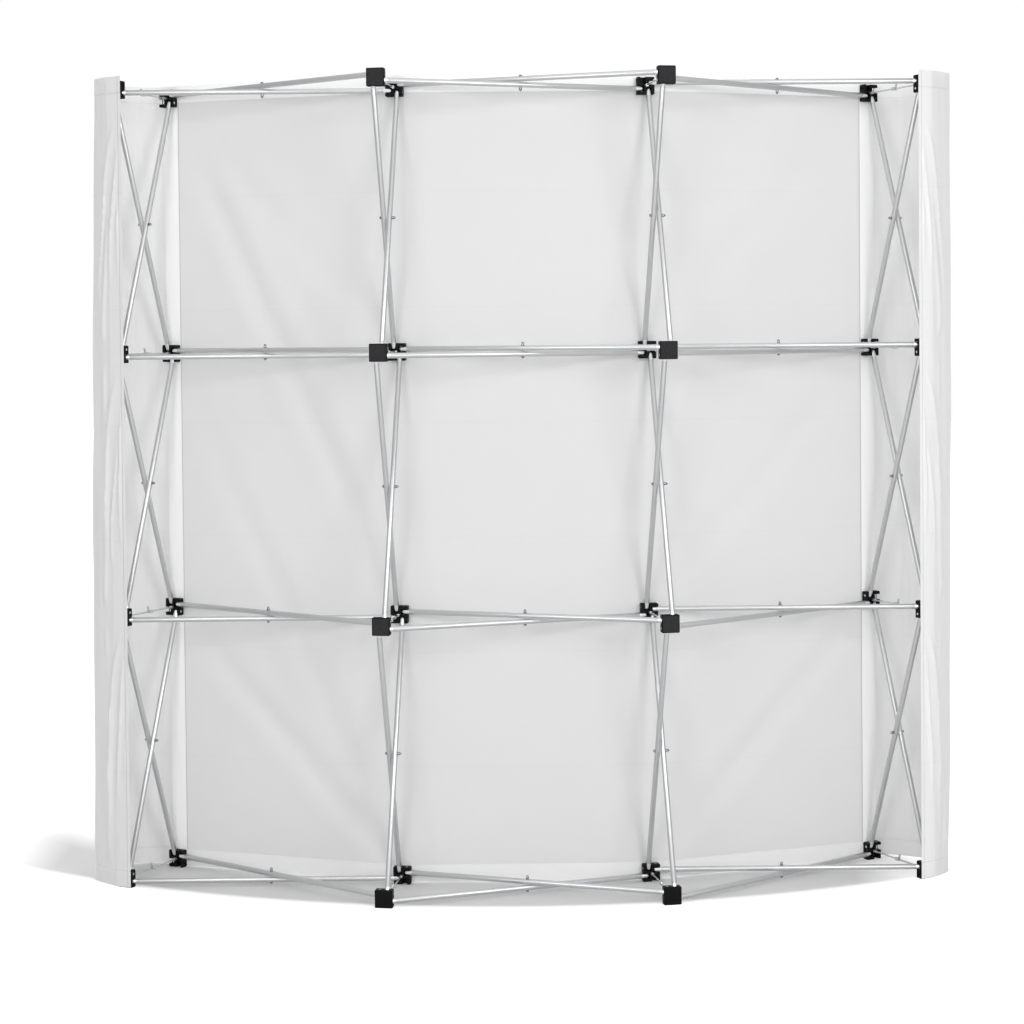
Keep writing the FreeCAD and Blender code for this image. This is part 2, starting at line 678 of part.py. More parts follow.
def plan_point(column, tangent, radius, height):
    """A point given by its column, its distance along the wall and its radius on the drum."""
    angle = math.radians((column - (COLUMNS - 1) / 2) * dims.bay_angle)
    return FreeCAD.Vector(radius * math.sin(angle) + tangent * math.cos(angle),
                          layout.axis_y - radius * math.cos(angle) + tangent * math.sin(angle), height)


def hub_line(columns, radius, height):
    """Points along the hub faces of some columns, two to a hub."""
    half = dims.hub_size / 2
    return [plan_point(column, tangent, radius, height) for column in columns for tangent in (-half, half)]


def standing_strip(columns, outer_radius, thickness, bottom, top):
    """A strip of even thickness that follows the hub faces, from bottom to top."""
    outer = hub_line(columns, outer_radius, bottom)
    inner = hub_line(columns, outer_radius - thickness, bottom)
    corners = outer + inner[::-1]
    face = Part.Face(Part.makePolygon(corners + corners[:1]))
    return face.extrude(FreeCAD.Vector(0, 0, top - bottom))


FOLDS = 6


def wrap_section(side, reach, height):
    """Closed outline of an end wrap: flap on the rear hub, then folds round to the front hub."""
    column = COLUMNS - 1 if side > 0 else 0
    half = dims.hub_size / 2
    middle = (layout.flap_radius + layout.cloth_radius) / 2
    depth = (layout.flap_radius - layout.cloth_radius) / 2

    def spot(along, radius):
        return plan_point(column, side * along, radius, height)

    def run(growth):
        points = []
        for k in range(2 * FOLDS + 1):
            turn = math.radians(90 - 180 * k / (2 * FOLDS))
            swell = 0
            if k % 2:
                swell = dims.fold_swell if k // 2 % 2 else -dims.fold_dip
            points.append(spot(half + (reach + swell + growth) * math.cos(turn),
                               middle + (depth + swell + growth) * math.sin(turn)))
        return points

    inner = run(0)
    outer = run(dims.cloth_thickness)
    edges = [Part.LineSegment(spot(-half, layout.flap_radius), inner[0])]
    edges += [Part.Arc(*inner[k:k + 3]) for k in range(0, 2 * FOLDS, 2)]
    edges += [Part.LineSegment(inner[-1], outer[-1])]
    edges += [Part.Arc(*outer[k - 2:k + 1][::-1]) for k in range(2 * FOLDS, 0, -2)]
    edges += [Part.LineSegment(outer[0], spot(-half, layout.flap_radius + dims.cloth_thickness))]
    edges += [Part.LineSegment(edges[-1].EndPoint, edges[0].StartPoint)]
    return Part.Wire([edge.toShape() for edge in edges])


def end_wrap(side, reaches):
    bottom = dims.cloth_floor_gap
    top = layout.cloth_top
    heights = (bottom, (bottom + top) / 2, top)
    sections = [wrap_section(side, reach, height) for reach, height in zip(reaches, heights)]
    return Part.makeLoft(sections, True)


def build_banner():
    everyone = range(COLUMNS)
    bottom = dims.cloth_floor_gap
    top = layout.cloth_top
    low_band = bottom + dims.tape_width
    high_band = top - dims.tape_width
    cloth = dims.cloth_thickness
    add_cloth_node("front_panel", standing_strip(everyone, layout.cloth_radius, cloth, bottom, top))
    tapes = {"bottom": (everyone, bottom, low_band), "top": (everyone, high_band, top),
             "left": ([0], low_band, high_band), "right": ([COLUMNS - 1], low_band, high_band)}
    for side, (columns, low, high) in tapes.items():
        strip = standing_strip(columns, layout.tape_radius, dims.tape_thickness, low, high)
        add_cloth_node(f"{side}_loop_tape", strip)
    add_cloth_node("left_end_wrap", end_wrap(-1, (dims.left_reach_bottom, dims.left_reach_middle,
                                                 dims.left_reach_top)))
    add_cloth_node("right_end_wrap", end_wrap(1, (dims.right_reach_bottom, dims.right_reach_middle,
                                                 dims.right_reach_top)))


def check_document():
    """Stop before anything is written if an object failed or a node is empty or not valid."""
    for item in doc.Objects:
        if {"Invalid", "Error"} & set(item.State):
            raise RuntimeError(f"{item.Name} failed: {item.State}")
    for node in NODES:
        if node.Shape.isNull() or not node.Shape.isValid() or not node.Shape.Solids:
            raise RuntimeError(f"{node.Label} has no valid solid")


def write_nodes():
    os.makedirs("parts", exist_ok=True)
    for node in NODES:
        node.Shape.exportStep(f"parts/{node.Label}.step")


build_hubs()
build_tubes()
build_locks()
build_pads()
build_banner()
doc.recompute()
check_document()
write_nodes()
for node in NODES:
    box = node.Shape.BoundBox
    print(f"{node.Label}: {len(node.Shape.Solids)} solids, {node.Shape.Volume / 1000:.1f} cm3, "
          f"x {box.XMin:.1f} {box.XMax:.1f}, y {box.YMin:.1f} {box.YMax:.1f}, z {box.ZMin:.1f} {box.ZMax:.1f}")
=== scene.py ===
"""Curved banner wall: the banner's cloth, the fine fittings and the finishes round the packed frame.

Lengths are in metres, in the frame of the packed part: X along the wall, Y from its open rear side to its
show side, Z up. The hubs stand on a drum whose axis lies on the show side.
"""
import json
import math
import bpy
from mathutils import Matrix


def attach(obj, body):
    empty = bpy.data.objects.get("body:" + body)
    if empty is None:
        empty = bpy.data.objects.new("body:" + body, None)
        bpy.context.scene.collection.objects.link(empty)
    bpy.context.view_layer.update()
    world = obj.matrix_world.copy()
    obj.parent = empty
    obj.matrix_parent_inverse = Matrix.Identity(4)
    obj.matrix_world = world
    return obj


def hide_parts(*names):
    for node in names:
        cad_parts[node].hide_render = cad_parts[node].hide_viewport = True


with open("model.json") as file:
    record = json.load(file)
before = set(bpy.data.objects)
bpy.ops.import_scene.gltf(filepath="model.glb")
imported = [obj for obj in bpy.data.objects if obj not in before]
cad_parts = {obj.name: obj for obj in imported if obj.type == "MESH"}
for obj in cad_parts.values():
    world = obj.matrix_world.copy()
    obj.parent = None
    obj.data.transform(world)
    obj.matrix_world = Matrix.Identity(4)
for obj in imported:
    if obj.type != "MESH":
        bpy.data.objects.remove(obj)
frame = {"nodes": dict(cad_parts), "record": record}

from types import SimpleNamespace

import bpy
import numpy as np
from bpy.props import FloatProperty, FloatVectorProperty, IntProperty, PointerProperty
from mathutils import Matrix, Vector

bl_info = {
    "name": "Curved banner wall",
    "version": (1, 0, 0),
    "blender": (4, 5, 0),
    "location": "View3D > Sidebar > Banner Wall",
    "description": "Dresses the frame of a curved pop-up banner wall with its cloth, fittings and finishes",
    "category": "Add Mesh",
}

COLUMNS = 4
LEVELS = 4
END_COLUMNS = (0, COLUMNS - 1)
WAYS = ("right", "up", "left", "down")
PLAY = 0.0001
SLOT_COLOURS = {row["slot"]: row["base_color"] for row in frame["record"]["materials"]}


# Sizes, colours and lights that a user may change

def length(name, description, default):
    return FloatProperty(name=name, description=description, default=default, min=0.0, precision=5,
                         unit="LENGTH")


def angle(name, description, degrees):
    return FloatProperty(name=name, description=description, default=math.radians(degrees), subtype="ANGLE")


def power(name, description, default):
    return FloatProperty(name=name, description=description, default=default, unit="POWER")


def three_lengths(name, description, default):
    return FloatVectorProperty(name=name, description=description, default=default, size=3, precision=4,
                               unit="LENGTH")


def colour(name, description, slot):
    return FloatVectorProperty(name=name, description=description, default=SLOT_COLOURS[slot], min=0.0,
                               max=1.0, size=3, subtype="COLOR")


class WallFrameSizes(bpy.types.PropertyGroup):
    """Where the hubs stand, and the sizes of hubs, tubes and their pins"""

    rear_radius: length("Rear radius", "Drum radius of the rear hub faces", 2.468)
    wall_depth: length("Wall depth", "From the rear hub faces to the front hub faces", 0.264)
    bay_angle: angle("Bay angle", "Turn from one column to the next", 18.18)
    tier_height: length("Tier height", "From one level of hubs to the next", 0.736)
    hub_size: length("Hub size", "Side of a hub's square face", 0.049)
    hub_depth: length("Hub depth", "Depth of a hub behind its face", 0.020)
    slot_offset: length("Slot offset", "Distance of a slot's middle from the hub's middle", 0.0081)
    pivot_reach: length("Pivot reach", "Distance of a hub pin from the hub's middle", 0.013)
    pivot_depth: length("Pivot depth", "Distance of a hub pin behind the hub's face", 0.0125)
    pin_diameter: length("Pin diameter", "Shank of a hub pin", 0.004)
    pin_head: length("Pin head", "Head diameter of a hub pin", 0.008)
    pin_head_height: length("Pin head height", "Head height of a hub pin", 0.0012)
    pin_recess: length("Pin recess", "How far a pin's head sits below the hub's side", 0.0003)
    pin_length: length("Pin length", "Hub pin from end to end", 0.0277)
    tube_diameter: length("Tube diameter", "Outer diameter of a tube", 0.015)
    tube_wall: length("Tube wall", "Wall of a tube", 0.001)
    tongue_thickness: length("Tongue thickness", "Thickness of a plug's tongue", 0.0146)
    tongue_width: length("Tongue width", "Width of a plug's tongue", 0.014)
    tongue_length: length("Tongue length", "From a hub pin to the end of its tube", 0.017)
    plug_depth: length("Plug depth", "How far a plug goes into its tube", 0.022)


class WallFittingSizes(bpy.types.PropertyGroup):
    """Rivets and washers at the crossings, and the lock struts"""

    rivet_diameter: length("Rivet diameter", "Shank of a crossing rivet", 0.004)
    rivet_head: length("Rivet head", "Head diameter of a crossing rivet", 0.0085)
    rivet_head_height: length("Rivet head height", "Height of a rivet's low head", 0.004)
    rivet_cap_height: length("Rivet cap height", "Height of a rivet's domed cap", 0.010)
    rivet_cap_tip: length("Rivet cap tip", "Diameter at the top of a rivet's cap", 0.003)
    washer_diameter: length("Washer diameter", "Washer between two crossing tubes", 0.010)
    fork_gap: length("Fork gap", "Gap of a lock's fork", 0.0042)
    fork_cheek: length("Fork cheek", "Thickness of a fork's cheek", 0.0022)
    fork_height: length("Fork height", "Height of a fork", 0.009)
    fork_root: length("Fork root", "Solid end of a fork", 0.004)
    fork_reach: length("Fork reach", "Length of a fork", 0.016)
    lock_pin: length("Lock pin", "Diameter of a lock's pins", 0.003)
    lock_pin_head: length("Lock pin head", "Head diameter of a lock's pins", 0.005)
    lock_pin_head_height: length("Lock pin head height", "Head height of a lock's pins", 0.0008)
    latch_rod: length("Latch rod", "Diameter of the rod from the front hub", 0.0046)
    latch_collar: length("Latch collar", "Diameter of the rod's collar at the front hub", 0.009)
    collar_length: length("Collar length", "Length of the rod's collar", 0.014)
    stem_diameter: length("Stem diameter", "Lock stem inside a hub", 0.0076)
    stem_length: length("Stem length", "Lock stem inside a hub", 0.0135)


class WallBannerSizes(bpy.types.PropertyGroup):
    """Tape, front panel and end wraps"""

    pad_size: length("Pad size", "Side of a hook tape square", 0.044)
    pad_thickness: length("Pad thickness", "Thickness of a hook tape square", 0.0012)
    tape_width: length("Tape width", "Loop tape along the banner's edges", 0.048)
    tape_thickness: length("Tape thickness", "Thickness of the loop tape", 0.0008)
    cloth_thickness: length("Cloth thickness", "Thickness of the banner's cloth", 0.0007)
    floor_gap: length("Floor gap", "From the floor to the banner's lower edge", 0.002)
    top_margin: length("Top margin", "How far the banner stands over the top hubs", 0.012)
    hem_width: length("Hem width", "Width of the sewn hems", 0.046)
    hem_step: length("Hem step", "How much thicker the cloth is at its hems", 0.0005)
    left_reach: three_lengths("Left reach", "How far the left wrap stands out: foot, middle and top",
                              (0.139, 0.124, 0.092))
    right_reach: three_lengths("Right reach", "How far the right wrap stands out: foot, middle and top",
                               (0.105, 0.123, 0.124))
    fold_swell: length("Fold swell", "How far a wrap's long folds stand out", 0.004)
    fold_dip: length("Fold dip", "How far a wrap's long folds dip in", 0.003)
    wrap_folds: IntProperty(name="Wrap folds", description="Long folds round a wrap", default=6, min=1)
    pleat_height: length("Pleat height", "Height of the fine slanting folds in a wrap", 0.0036)
    panel_bow: length("Panel bow", "How far the panel is pulled off a column between two hubs", 0.008)
    panel_fold: length("Panel fold", "Height of the folds that run from hub to hub", 0.006)


class WallColours(bpy.types.PropertyGroup):
    """Base colours of the finishes"""

    hub_plastic: colour("Hub plastic", "Moulded black plastic of the hubs", "hub_plastic")
    tube_aluminium: colour("Tubes", "Satin aluminium of the tubes", "tube_aluminium")
    plug_aluminium: colour("Plugs", "Aluminium of the tube end plugs", "plug_aluminium")
    pin_steel: colour("Pins and rivets", "Bright plated steel of pins and rivets", "pin_steel")
    washer_plastic: colour("Washers", "Natural nylon of the washers", "washer_plastic")
    lock_steel: colour("Locks", "Plated steel of the lock struts", "lock_steel")
    hook_tape: colour("Hook tape", "Charcoal pile of the hook tape squares", "hook_tape")
    banner_cloth: colour("Banner cloth", "White knitted cloth of the banner", "banner_cloth")
    loop_tape: colour("Loop tape", "White pile of the loop tape", "loop_tape")


class WallStageSettings(bpy.types.PropertyGroup):
    """Camera and lights"""

    camera_place: FloatVectorProperty(name="Camera place", description="Where the camera stands",
                                      default=(-0.0809, -5.7461, 1.5347), size=3, subtype="TRANSLATION")
    camera_turn: angle("Camera turn", "Turn of the camera to the side", -0.5138)
    camera_tilt: angle("Camera tilt", "Tilt of the camera from straight down", 88.6057)
    camera_roll: angle("Camera roll", "Roll of the camera", -0.5158)
    lens: FloatProperty(name="Lens", description="Focal length in millimetres", default=72.187,
                        unit="CAMERA")
    drop: FloatProperty(name="Lens shift", description="Upward shift of the view, in image widths",
                        default=-0.12188)
    key_power: power("Key light", "Softbox at the right", 110.0)
    fill_power: power("Fill light", "Softbox at the left", 80.0)
    front_power: power("Front light", "Softbox by the camera", 25.0)
    top_power: power("Top light", "Large softbox overhead", 30.0)
    show_power: power("Show light", "Softbox before the show side", 150.0)
    side_power: power("Side lights", "Softboxes beside the end wraps", 33.0)
    room_light: FloatProperty(name="Room light", description="Even light from all round", default=0.57)
    floor_glow: FloatProperty(name="Floor glow", description="Brightness of the floor away from the wall",
                              default=1.0)


def wall():
    """Sizes, with the distances that follow from them, laid out as in the part itself."""
    scene = bpy.context.scene
    f, t, c = scene.wall_frame, scene.wall_fittings, scene.wall_cloth
    w = SimpleNamespace(frame=f, fittings=t, cloth=c)
    half_bay = f.bay_angle / 2
    end_angle = f.bay_angle * (COLUMNS - 1) / 2
    w.half = f.hub_size / 2
    w.front_radius = f.rear_radius - f.wall_depth
    w.middle_radius = f.rear_radius - f.wall_depth / 2
    rear_reach = (f.rear_radius + c.pad_thickness) * math.cos(half_bay) + w.half * math.sin(half_bay)
    front_reach = w.middle_radius * math.cos(end_angle) - w.half * math.sin(end_angle) - f.wall_depth / 2
    w.axis_y = (rear_reach + front_reach) / 2
    w.rear_pivot = f.rear_radius - f.pivot_depth
    w.front_pivot = w.front_radius + f.pivot_depth
    w.rear_x = w.rear_pivot * math.sin(half_bay) - f.pivot_reach * math.cos(half_bay)
    w.rear_y = w.rear_pivot * math.cos(half_bay) + f.pivot_reach * math.sin(half_bay)
    front_x = w.front_pivot * math.sin(half_bay) - f.pivot_reach * math.cos(half_bay)
    front_y = w.front_pivot * math.cos(half_bay) + f.pivot_reach * math.sin(half_bay)
    w.level_span = math.hypot(w.rear_x + front_x, w.rear_y - front_y)
    w.level_slope = math.atan2(w.rear_y - front_y, w.rear_x + front_x)
    w.crossing_y = w.rear_y - (w.rear_y - front_y) * w.rear_x / (w.rear_x + front_x)
    rise = f.tier_height - 2 * f.pivot_reach
    run = w.rear_pivot - w.front_pivot
    w.upright_span = math.hypot(rise, run)
    w.upright_slope = math.atan2(rise, run)
    w.rivet_grip = f.slot_offset + f.tube_diameter / 2
    w.washer_height = 2 * f.slot_offset - f.tube_diameter - PLAY
    w.lock_pivot = f.hub_depth + t.fork_reach - t.fork_height / 2
    w.lock_latch = f.wall_depth / 2
    w.latch_fork_end = w.lock_latch + t.fork_reach - t.fork_height / 2
    w.fork_width = t.fork_gap + 2 * t.fork_cheek
    w.cloth_bottom = c.floor_gap
    w.cloth_top = f.hub_size + f.tier_height * (LEVELS - 1) + c.top_margin
    w.tape_radius = w.front_radius - c.pad_thickness
    w.cloth_radius = w.tape_radius - c.tape_thickness
    w.flap_radius = f.rear_radius + c.pad_thickness
    return w


# Frames, as matrices

def drum_turn(w, steps):
    turn = Matrix.Rotation(steps * w.frame.bay_angle, 4, "Z")
    return Matrix.Translation((0, w.axis_y, 0)) @ turn


def column_frame(w, column):
    return drum_turn(w, column - (COLUMNS - 1) / 2)


def bay_frame(w, bay):
    return drum_turn(w, bay - (COLUMNS - 2) / 2)


def level_height(w, level):
    return w.half + level * w.frame.tier_height


def shift(x=0.0, y=0.0, z=0.0, axis="Z", turn=0.0):
    return Matrix.Translation((x, y, z)) @ Matrix.Rotation(turn, 4, axis)


def hub_frame(w, column, level, layer):
    """Z out of the hub's face, Y up, origin in the middle of the face."""
    outwards = shift(axis="X", turn=math.pi / 2)
    if layer == "rear":
        place = shift(y=-w.frame.rear_radius, z=level_height(w, level))
    else:
        place = shift(y=-w.front_radius, z=level_height(w, level), turn=math.pi)
    return column_frame(w, column) @ place @ outwards


def lock_frame(w, column, level, y=0.0):
    """Y from the rear hub to the front hub, Z up, X along the wall."""
    return column_frame(w, column) @ shift(y=y - w.frame.rear_radius, z=level_height(w, level))


def level_tubes(w, level):
    """The tubes of a level, two crossing in each bay, each along X from its rear pin."""
    height = level_height(w, level)
    low = shift(-w.rear_x, -w.rear_y, height - w.frame.slot_offset, turn=w.level_slope)
    high = shift(w.rear_x, -w.rear_y, height + w.frame.slot_offset, turn=math.pi - w.level_slope)
    return [bay_frame(w, bay) @ place for bay in range(COLUMNS - 1) for place in (low, high)]


def upright_tubes(w, column):
    """The tubes of a column, two crossing in each tier, each along X from its lower pin."""
    lay_down = Matrix.Rotation(math.radians(120), 4, Vector((1, 1, 1)))
    tubes = []
    for tier in range(LEVELS - 1):
        foot = level_height(w, tier) + w.frame.pivot_reach
        to_front = shift(w.frame.slot_offset, -w.rear_pivot, foot, "X", w.upright_slope)
        to_rear = shift(-w.frame.slot_offset, -w.front_pivot, foot, "X", math.pi - w.upright_slope)
        tubes += [column_frame(w, column) @ climb @ lay_down for climb in (to_front, to_rear)]
    return tubes


def level_crossing(w, bay, level):
    """Z towards the rivet's cap: up, but down at the top level."""
    turn = math.pi if level == LEVELS - 1 else 0.0
    return bay_frame(w, bay) @ shift(y=-w.crossing_y, z=level_height(w, level), axis="X", turn=turn)


def upright_crossing(w, column, tier):
    """Z towards the rivet's cap: right, but left at the last column."""
    turn = -math.pi / 2 if column == COLUMNS - 1 else math.pi / 2
    place = shift(y=-w.middle_radius, z=level_height(w, tier + 0.5), axis="Y", turn=turn)
    return column_frame(w, column) @ place


def hub_places():
    return [(column, level) for column in range(COLUMNS) for level in range(LEVELS)]


def used_ways(column, level):
    """The slots of a hub that hold a tube."""
    used = {"right": column < COLUMNS - 1, "up": level < LEVELS - 1, "left": column > 0, "down": level > 0}
    return [way for way in WAYS if used[way]]


def pin_frame(w, column, level, layer, way):
    """Z from a hub pin's head into the hub."""
    seat = shift(w.frame.pivot_reach, w.frame.pin_recess - w.half, -w.frame.pivot_depth, "X", -math.pi / 2)
    turn = shift(turn=WAYS.index(way) * 2 * math.pi / len(WAYS))
    return hub_frame(w, column, level, layer) @ turn @ seat


# Modelling by hand

SHARP_EDGE = math.radians(40)
TURNED_EDGE = math.radians(45)
CLOTH_EDGE = math.radians(50)
PAD_EDGE = math.radians(30)


def deselect():
    if bpy.context.object and bpy.context.object.mode != "OBJECT":
        bpy.ops.object.mode_set(mode="OBJECT")
    bpy.ops.object.select_all(action="DESELECT")


def named(name):
    """The piece in hand, with its place in its mesh."""
    piece = bpy.context.object
    piece.name = name
    piece.data.name = name
    bpy.ops.object.transform_apply(location=True, rotation=True, scale=True)
    return piece


def select_faces(piece, test):
    """Go into edit mode with the faces selected whose centre and normal pass a test."""
    bpy.ops.object.mode_set(mode="EDIT")
    bpy.ops.mesh.select_mode(type="FACE")
    bpy.ops.mesh.select_all(action="DESELECT")
    bpy.ops.object.mode_set(mode="OBJECT")
    for face in piece.data.polygons:
        face.select = test(face.center, face.normal)
    bpy.ops.object.mode_set(mode="EDIT")


def modify(piece, kind, **settings):
    """Add a modifier and apply it."""
    modifier = piece.modifiers.new(kind.title(), kind)
    for name, value in settings.items():
        setattr(modifier, name, value)
    bpy.ops.object.modifier_apply(modifier=modifier.name)


def soften(piece, width):
    """Break the sharp edges and smooth the rest."""
    modify(piece, "BEVEL", width=width, segments=2, limit_method="ANGLE", angle_limit=SHARP_EDGE)
    bpy.ops.object.shade_smooth_by_angle(angle=SHARP_EDGE)


def turned(name, rings, sides):
    """A solid turned round Z, extruded ring by ring through (radius, height) pairs."""
    deselect()
    (radius, height), *rest = rings
    bpy.ops.mesh.primitive_circle_add(vertices=sides, radius=radius, fill_type="NGON",
                                      location=(0, 0, height))
    piece = named(name)
    bpy.ops.object.mode_set(mode="EDIT")
    bpy.ops.mesh.select_all(action="SELECT")
    for next_radius, next_height in rest:
        bpy.ops.mesh.extrude_region_move(TRANSFORM_OT_translate={"value": (0, 0, next_height - height)})
        grow = next_radius / radius
        bpy.ops.transform.resize(value=(grow, grow, 1), center_override=(0, 0, next_height))
        radius, height = next_radius, next_height
    bpy.ops.mesh.select_all(action="SELECT")
    bpy.ops.mesh.normals_make_consistent(inside=False)
    bpy.ops.object.mode_set(mode="OBJECT")
    bpy.ops.object.shade_smooth_by_angle(angle=TURNED_EDGE)
    return piece


def ring(name, diameter, wall_thickness, depth, sides, edge):
    """An open-ended tube along Z, its middle at the origin."""
    deselect()
    bpy.ops.mesh.primitive_cylinder_add(vertices=sides, radius=diameter / 2, depth=depth,
                                        end_fill_type="NOTHING", location=(0, 0, 0))
    piece = named(name)
    modify(piece, "SOLIDIFY", thickness=wall_thickness, offset=-1)
    soften(piece, edge)
    return piece


def join_pieces(name, pieces):
    deselect()
    for piece in pieces:
        piece.select_set(True)
    bpy.context.view_layer.objects.active = pieces[0]
    bpy.ops.object.join()
    return named(name)


def place_copies(name, template, places):
    """Copies of a template, each with its own mesh, joined as one piece."""
    copies = []
    for place in places:
        copy = template.copy()
        copy.data = template.data.copy()
        copy.data.transform(place)
        bpy.context.collection.objects.link(copy)
        copies.append(copy)
    return join_pieces(name, copies)


def discard(*templates):
    for template in templates:
        bpy.data.objects.remove(template, do_unlink=True)


def fit(piece, slot, finish, *nodes):
    """Give a new piece its finish, and have it ride on the frame in place of its CAD nodes."""
    piece.data.materials.clear()
    piece.data.materials.append(finish)
    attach(piece, "frame")
    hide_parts(*nodes)


def coat(finish, *nodes):
    """Give CAD nodes a finish."""
    for node in nodes:
        mesh = frame["nodes"][node].data
        mesh.materials.clear()
        mesh.materials.append(finish)


# Finishes

class Signal:
    """An output socket in a finish; sums of signals add their Math nodes."""

    def __init__(self, tree, socket=None):
        self.tree = tree
        self.socket = socket

    def node(self, kind, settings=None, values=None, output=0):
        """Add a node: its settings first, then the values or links of its sockets."""
        made = self.tree.nodes.new(kind)
        for name, value in (settings or {}).items():
            setattr(made, name, value)
        for name, value in (values or {}).items():
            if isinstance(value, Signal):
                self.tree.links.new(value.socket, made.inputs[name])
            else:
                made.inputs[name].default_value = value
        return Signal(self.tree, made.outputs[output])

    def maths(self, operation, *values):
        return self.node("ShaderNodeMath", {"operation": operation}, dict(enumerate(values)))

    def __add__(self, other):
        return self.maths("ADD", self, other)

    def __sub__(self, other):
        return self.maths("SUBTRACT", self, other)

    def __rsub__(self, other):
        return self.maths("SUBTRACT", other, self)

    def __mul__(self, other):
        return self.maths("MULTIPLY", self, other)

    def __truediv__(self, other):
        return self.maths("DIVIDE", self, other)

    __radd__ = __add__
    __rmul__ = __mul__


class Finish(Signal):
    """A material under way: its coordinates, its patterns and its shader."""

    def __init__(self, name):
        self.material = bpy.data.materials.new(name)
        self.material.use_nodes = True
        super().__init__(self.material.node_tree)
        self.shader = self.tree.nodes["Principled BSDF"]

    def place(self):
        return self.node("ShaderNodeTexCoord", output="Object")

    def weave(self):
        return self.node("ShaderNodeTexCoord", output="UV")

    def stretched(self, vector, scale):
        return self.node("ShaderNodeMapping", None, {"Vector": vector, "Scale": scale})

    def noise(self, vector, scale, detail=2.0, roughness=0.5):
        values = {"Vector": vector, "Scale": scale, "Detail": detail, "Roughness": roughness}
        return self.node("ShaderNodeTexNoise", None, values)

    def cells(self, vector, scale):
        return self.node("ShaderNodeTexVoronoi", None, {"Vector": vector, "Scale": scale})

    def mix(self, factor, first, second):
        values = {0: factor, 6: (*first, 1), 7: (*second, 1)}
        return self.node("ShaderNodeMix", {"data_type": "RGBA"}, values, output=2)

    def tones(self, factor, rgb, low, high):
        """A mix of two shades of one colour."""
        return self.mix(factor, shade(rgb, low), shade(rgb, high))

    def bump(self, height, distance, strength=1.0):
        return self.node("ShaderNodeBump", None,
                         {"Height": height, "Distance": distance, "Strength": strength})

    def done(self, **sockets):
        """Set or link the shader's sockets; an underscore in a name stands for a space."""
        for name, value in sockets.items():
            socket = self.shader.inputs[name.replace("_", " ")]
            if isinstance(value, Signal):
                self.tree.links.new(value.socket, socket)
            else:
                socket.default_value = value
        return self.material

    def lit_through(self, rgb, share):
        """Let a share of the light through to the other side, in one even colour."""
        glow = self.node("ShaderNodeBsdfTranslucent", None, {"Color": (*rgb, 1)})
        solid = Signal(self.tree, self.shader.outputs["BSDF"])
        mixed = self.node("ShaderNodeMixShader", None, {0: share, 1: solid, 2: glow})
        self.tree.links.new(mixed.socket, self.tree.nodes["Material Output"].inputs["Surface"])
        return self.material


def shade(rgb, amount):
    return tuple(min(1.0, channel * amount) for channel in rgb)


def moulded_plastic(colours):
    """Black plastic with a fine eroded grain and faint cloudy sheen."""
    finish = Finish("moulded_plastic")
    place = finish.place()
    grain = finish.noise(place, 1600.0, 3.0)
    cloud = finish.noise(place, 35.0, 3.0)
    base = finish.tones(cloud, colours.hub_plastic, 0.03, 0.15)
    return finish.done(Base_Color=base, Roughness=0.4 + grain * 0.18 + cloud * 0.08,
                       Specular_IOR_Level=0.14, Normal=finish.bump(grain, 0.00012, 0.5))


def drawn_tube(colours):
    """Satin aluminium with drawing lines along the tube."""
    finish = Finish("drawn_tube")
    along = finish.stretched(finish.weave(), (260.0, 3.0, 1.0))
    lines = finish.noise(along, 1.0, 4.0, 0.65)
    cloud = finish.noise(finish.place(), 14.0, 2.0)
    base = finish.tones(lines * 0.6 + cloud * 0.4, colours.tube_aluminium, 0.74, 0.9)
    return finish.done(Base_Color=base, Metallic=1.0, Roughness=0.32 + lines * 0.12 + cloud * 0.05,
                       Normal=finish.bump(lines, 0.00003, 0.4))


def cast_plug(colours):
    """Tumbled aluminium of the plugs."""
    finish = Finish("cast_plug")
    place = finish.place()
    grain = finish.noise(place, 900.0, 3.0, 0.6)
    base = finish.tones(grain, colours.plug_aluminium, 0.9, 1.08)
    return finish.done(Base_Color=base, Metallic=1.0, Roughness=0.26 + grain * 0.14,
                       Normal=finish.bump(grain, 0.00006, 0.4))


def bright_steel(colours, name, tone=1.0):
    """Plated pins and rivets, with fine rub marks."""
    finish = Finish(name)
    place = finish.place()
    rubs = finish.noise(finish.stretched(place, (300.0, 300.0, 1800.0)), 1.0, 3.0, 0.6)
    base = finish.tones(rubs, colours.pin_steel, 0.86 * tone, 1.15 * tone)
    return finish.done(Base_Color=base, Metallic=1.0, Roughness=0.12 + rubs * 0.12,
                       Normal=finish.bump(rubs, 0.00002, 0.4))


def plated_lock(colours):
    """Plated strip and rod of the locks, with the plating's faint spangle."""
    finish = Finish("plated_lock")
    place = finish.place()
    spangle = finish.cells(place, 260.0)
    grain = finish.noise(place, 1100.0, 3.0)
    base = finish.tones(spangle * 0.7 + grain * 0.3, colours.lock_steel, 1.08, 0.84)
    return finish.done(Base_Color=base, Metallic=1.0, Roughness=0.2 + spangle * 0.12 + grain * 0.06,
                       Normal=finish.bump(grain, 0.00003, 0.4))


def natural_nylon(colours):
    """Slightly waxy nylon of the washers."""
    finish = Finish("natural_nylon")
    grain = finish.noise(finish.place(), 1200.0, 2.0)
    base = finish.tones(grain, colours.washer_plastic, 0.94, 1.05)
    return finish.done(Base_Color=base, Roughness=0.42 + grain * 0.1,
                       Normal=finish.bump(grain, 0.00005, 0.4))


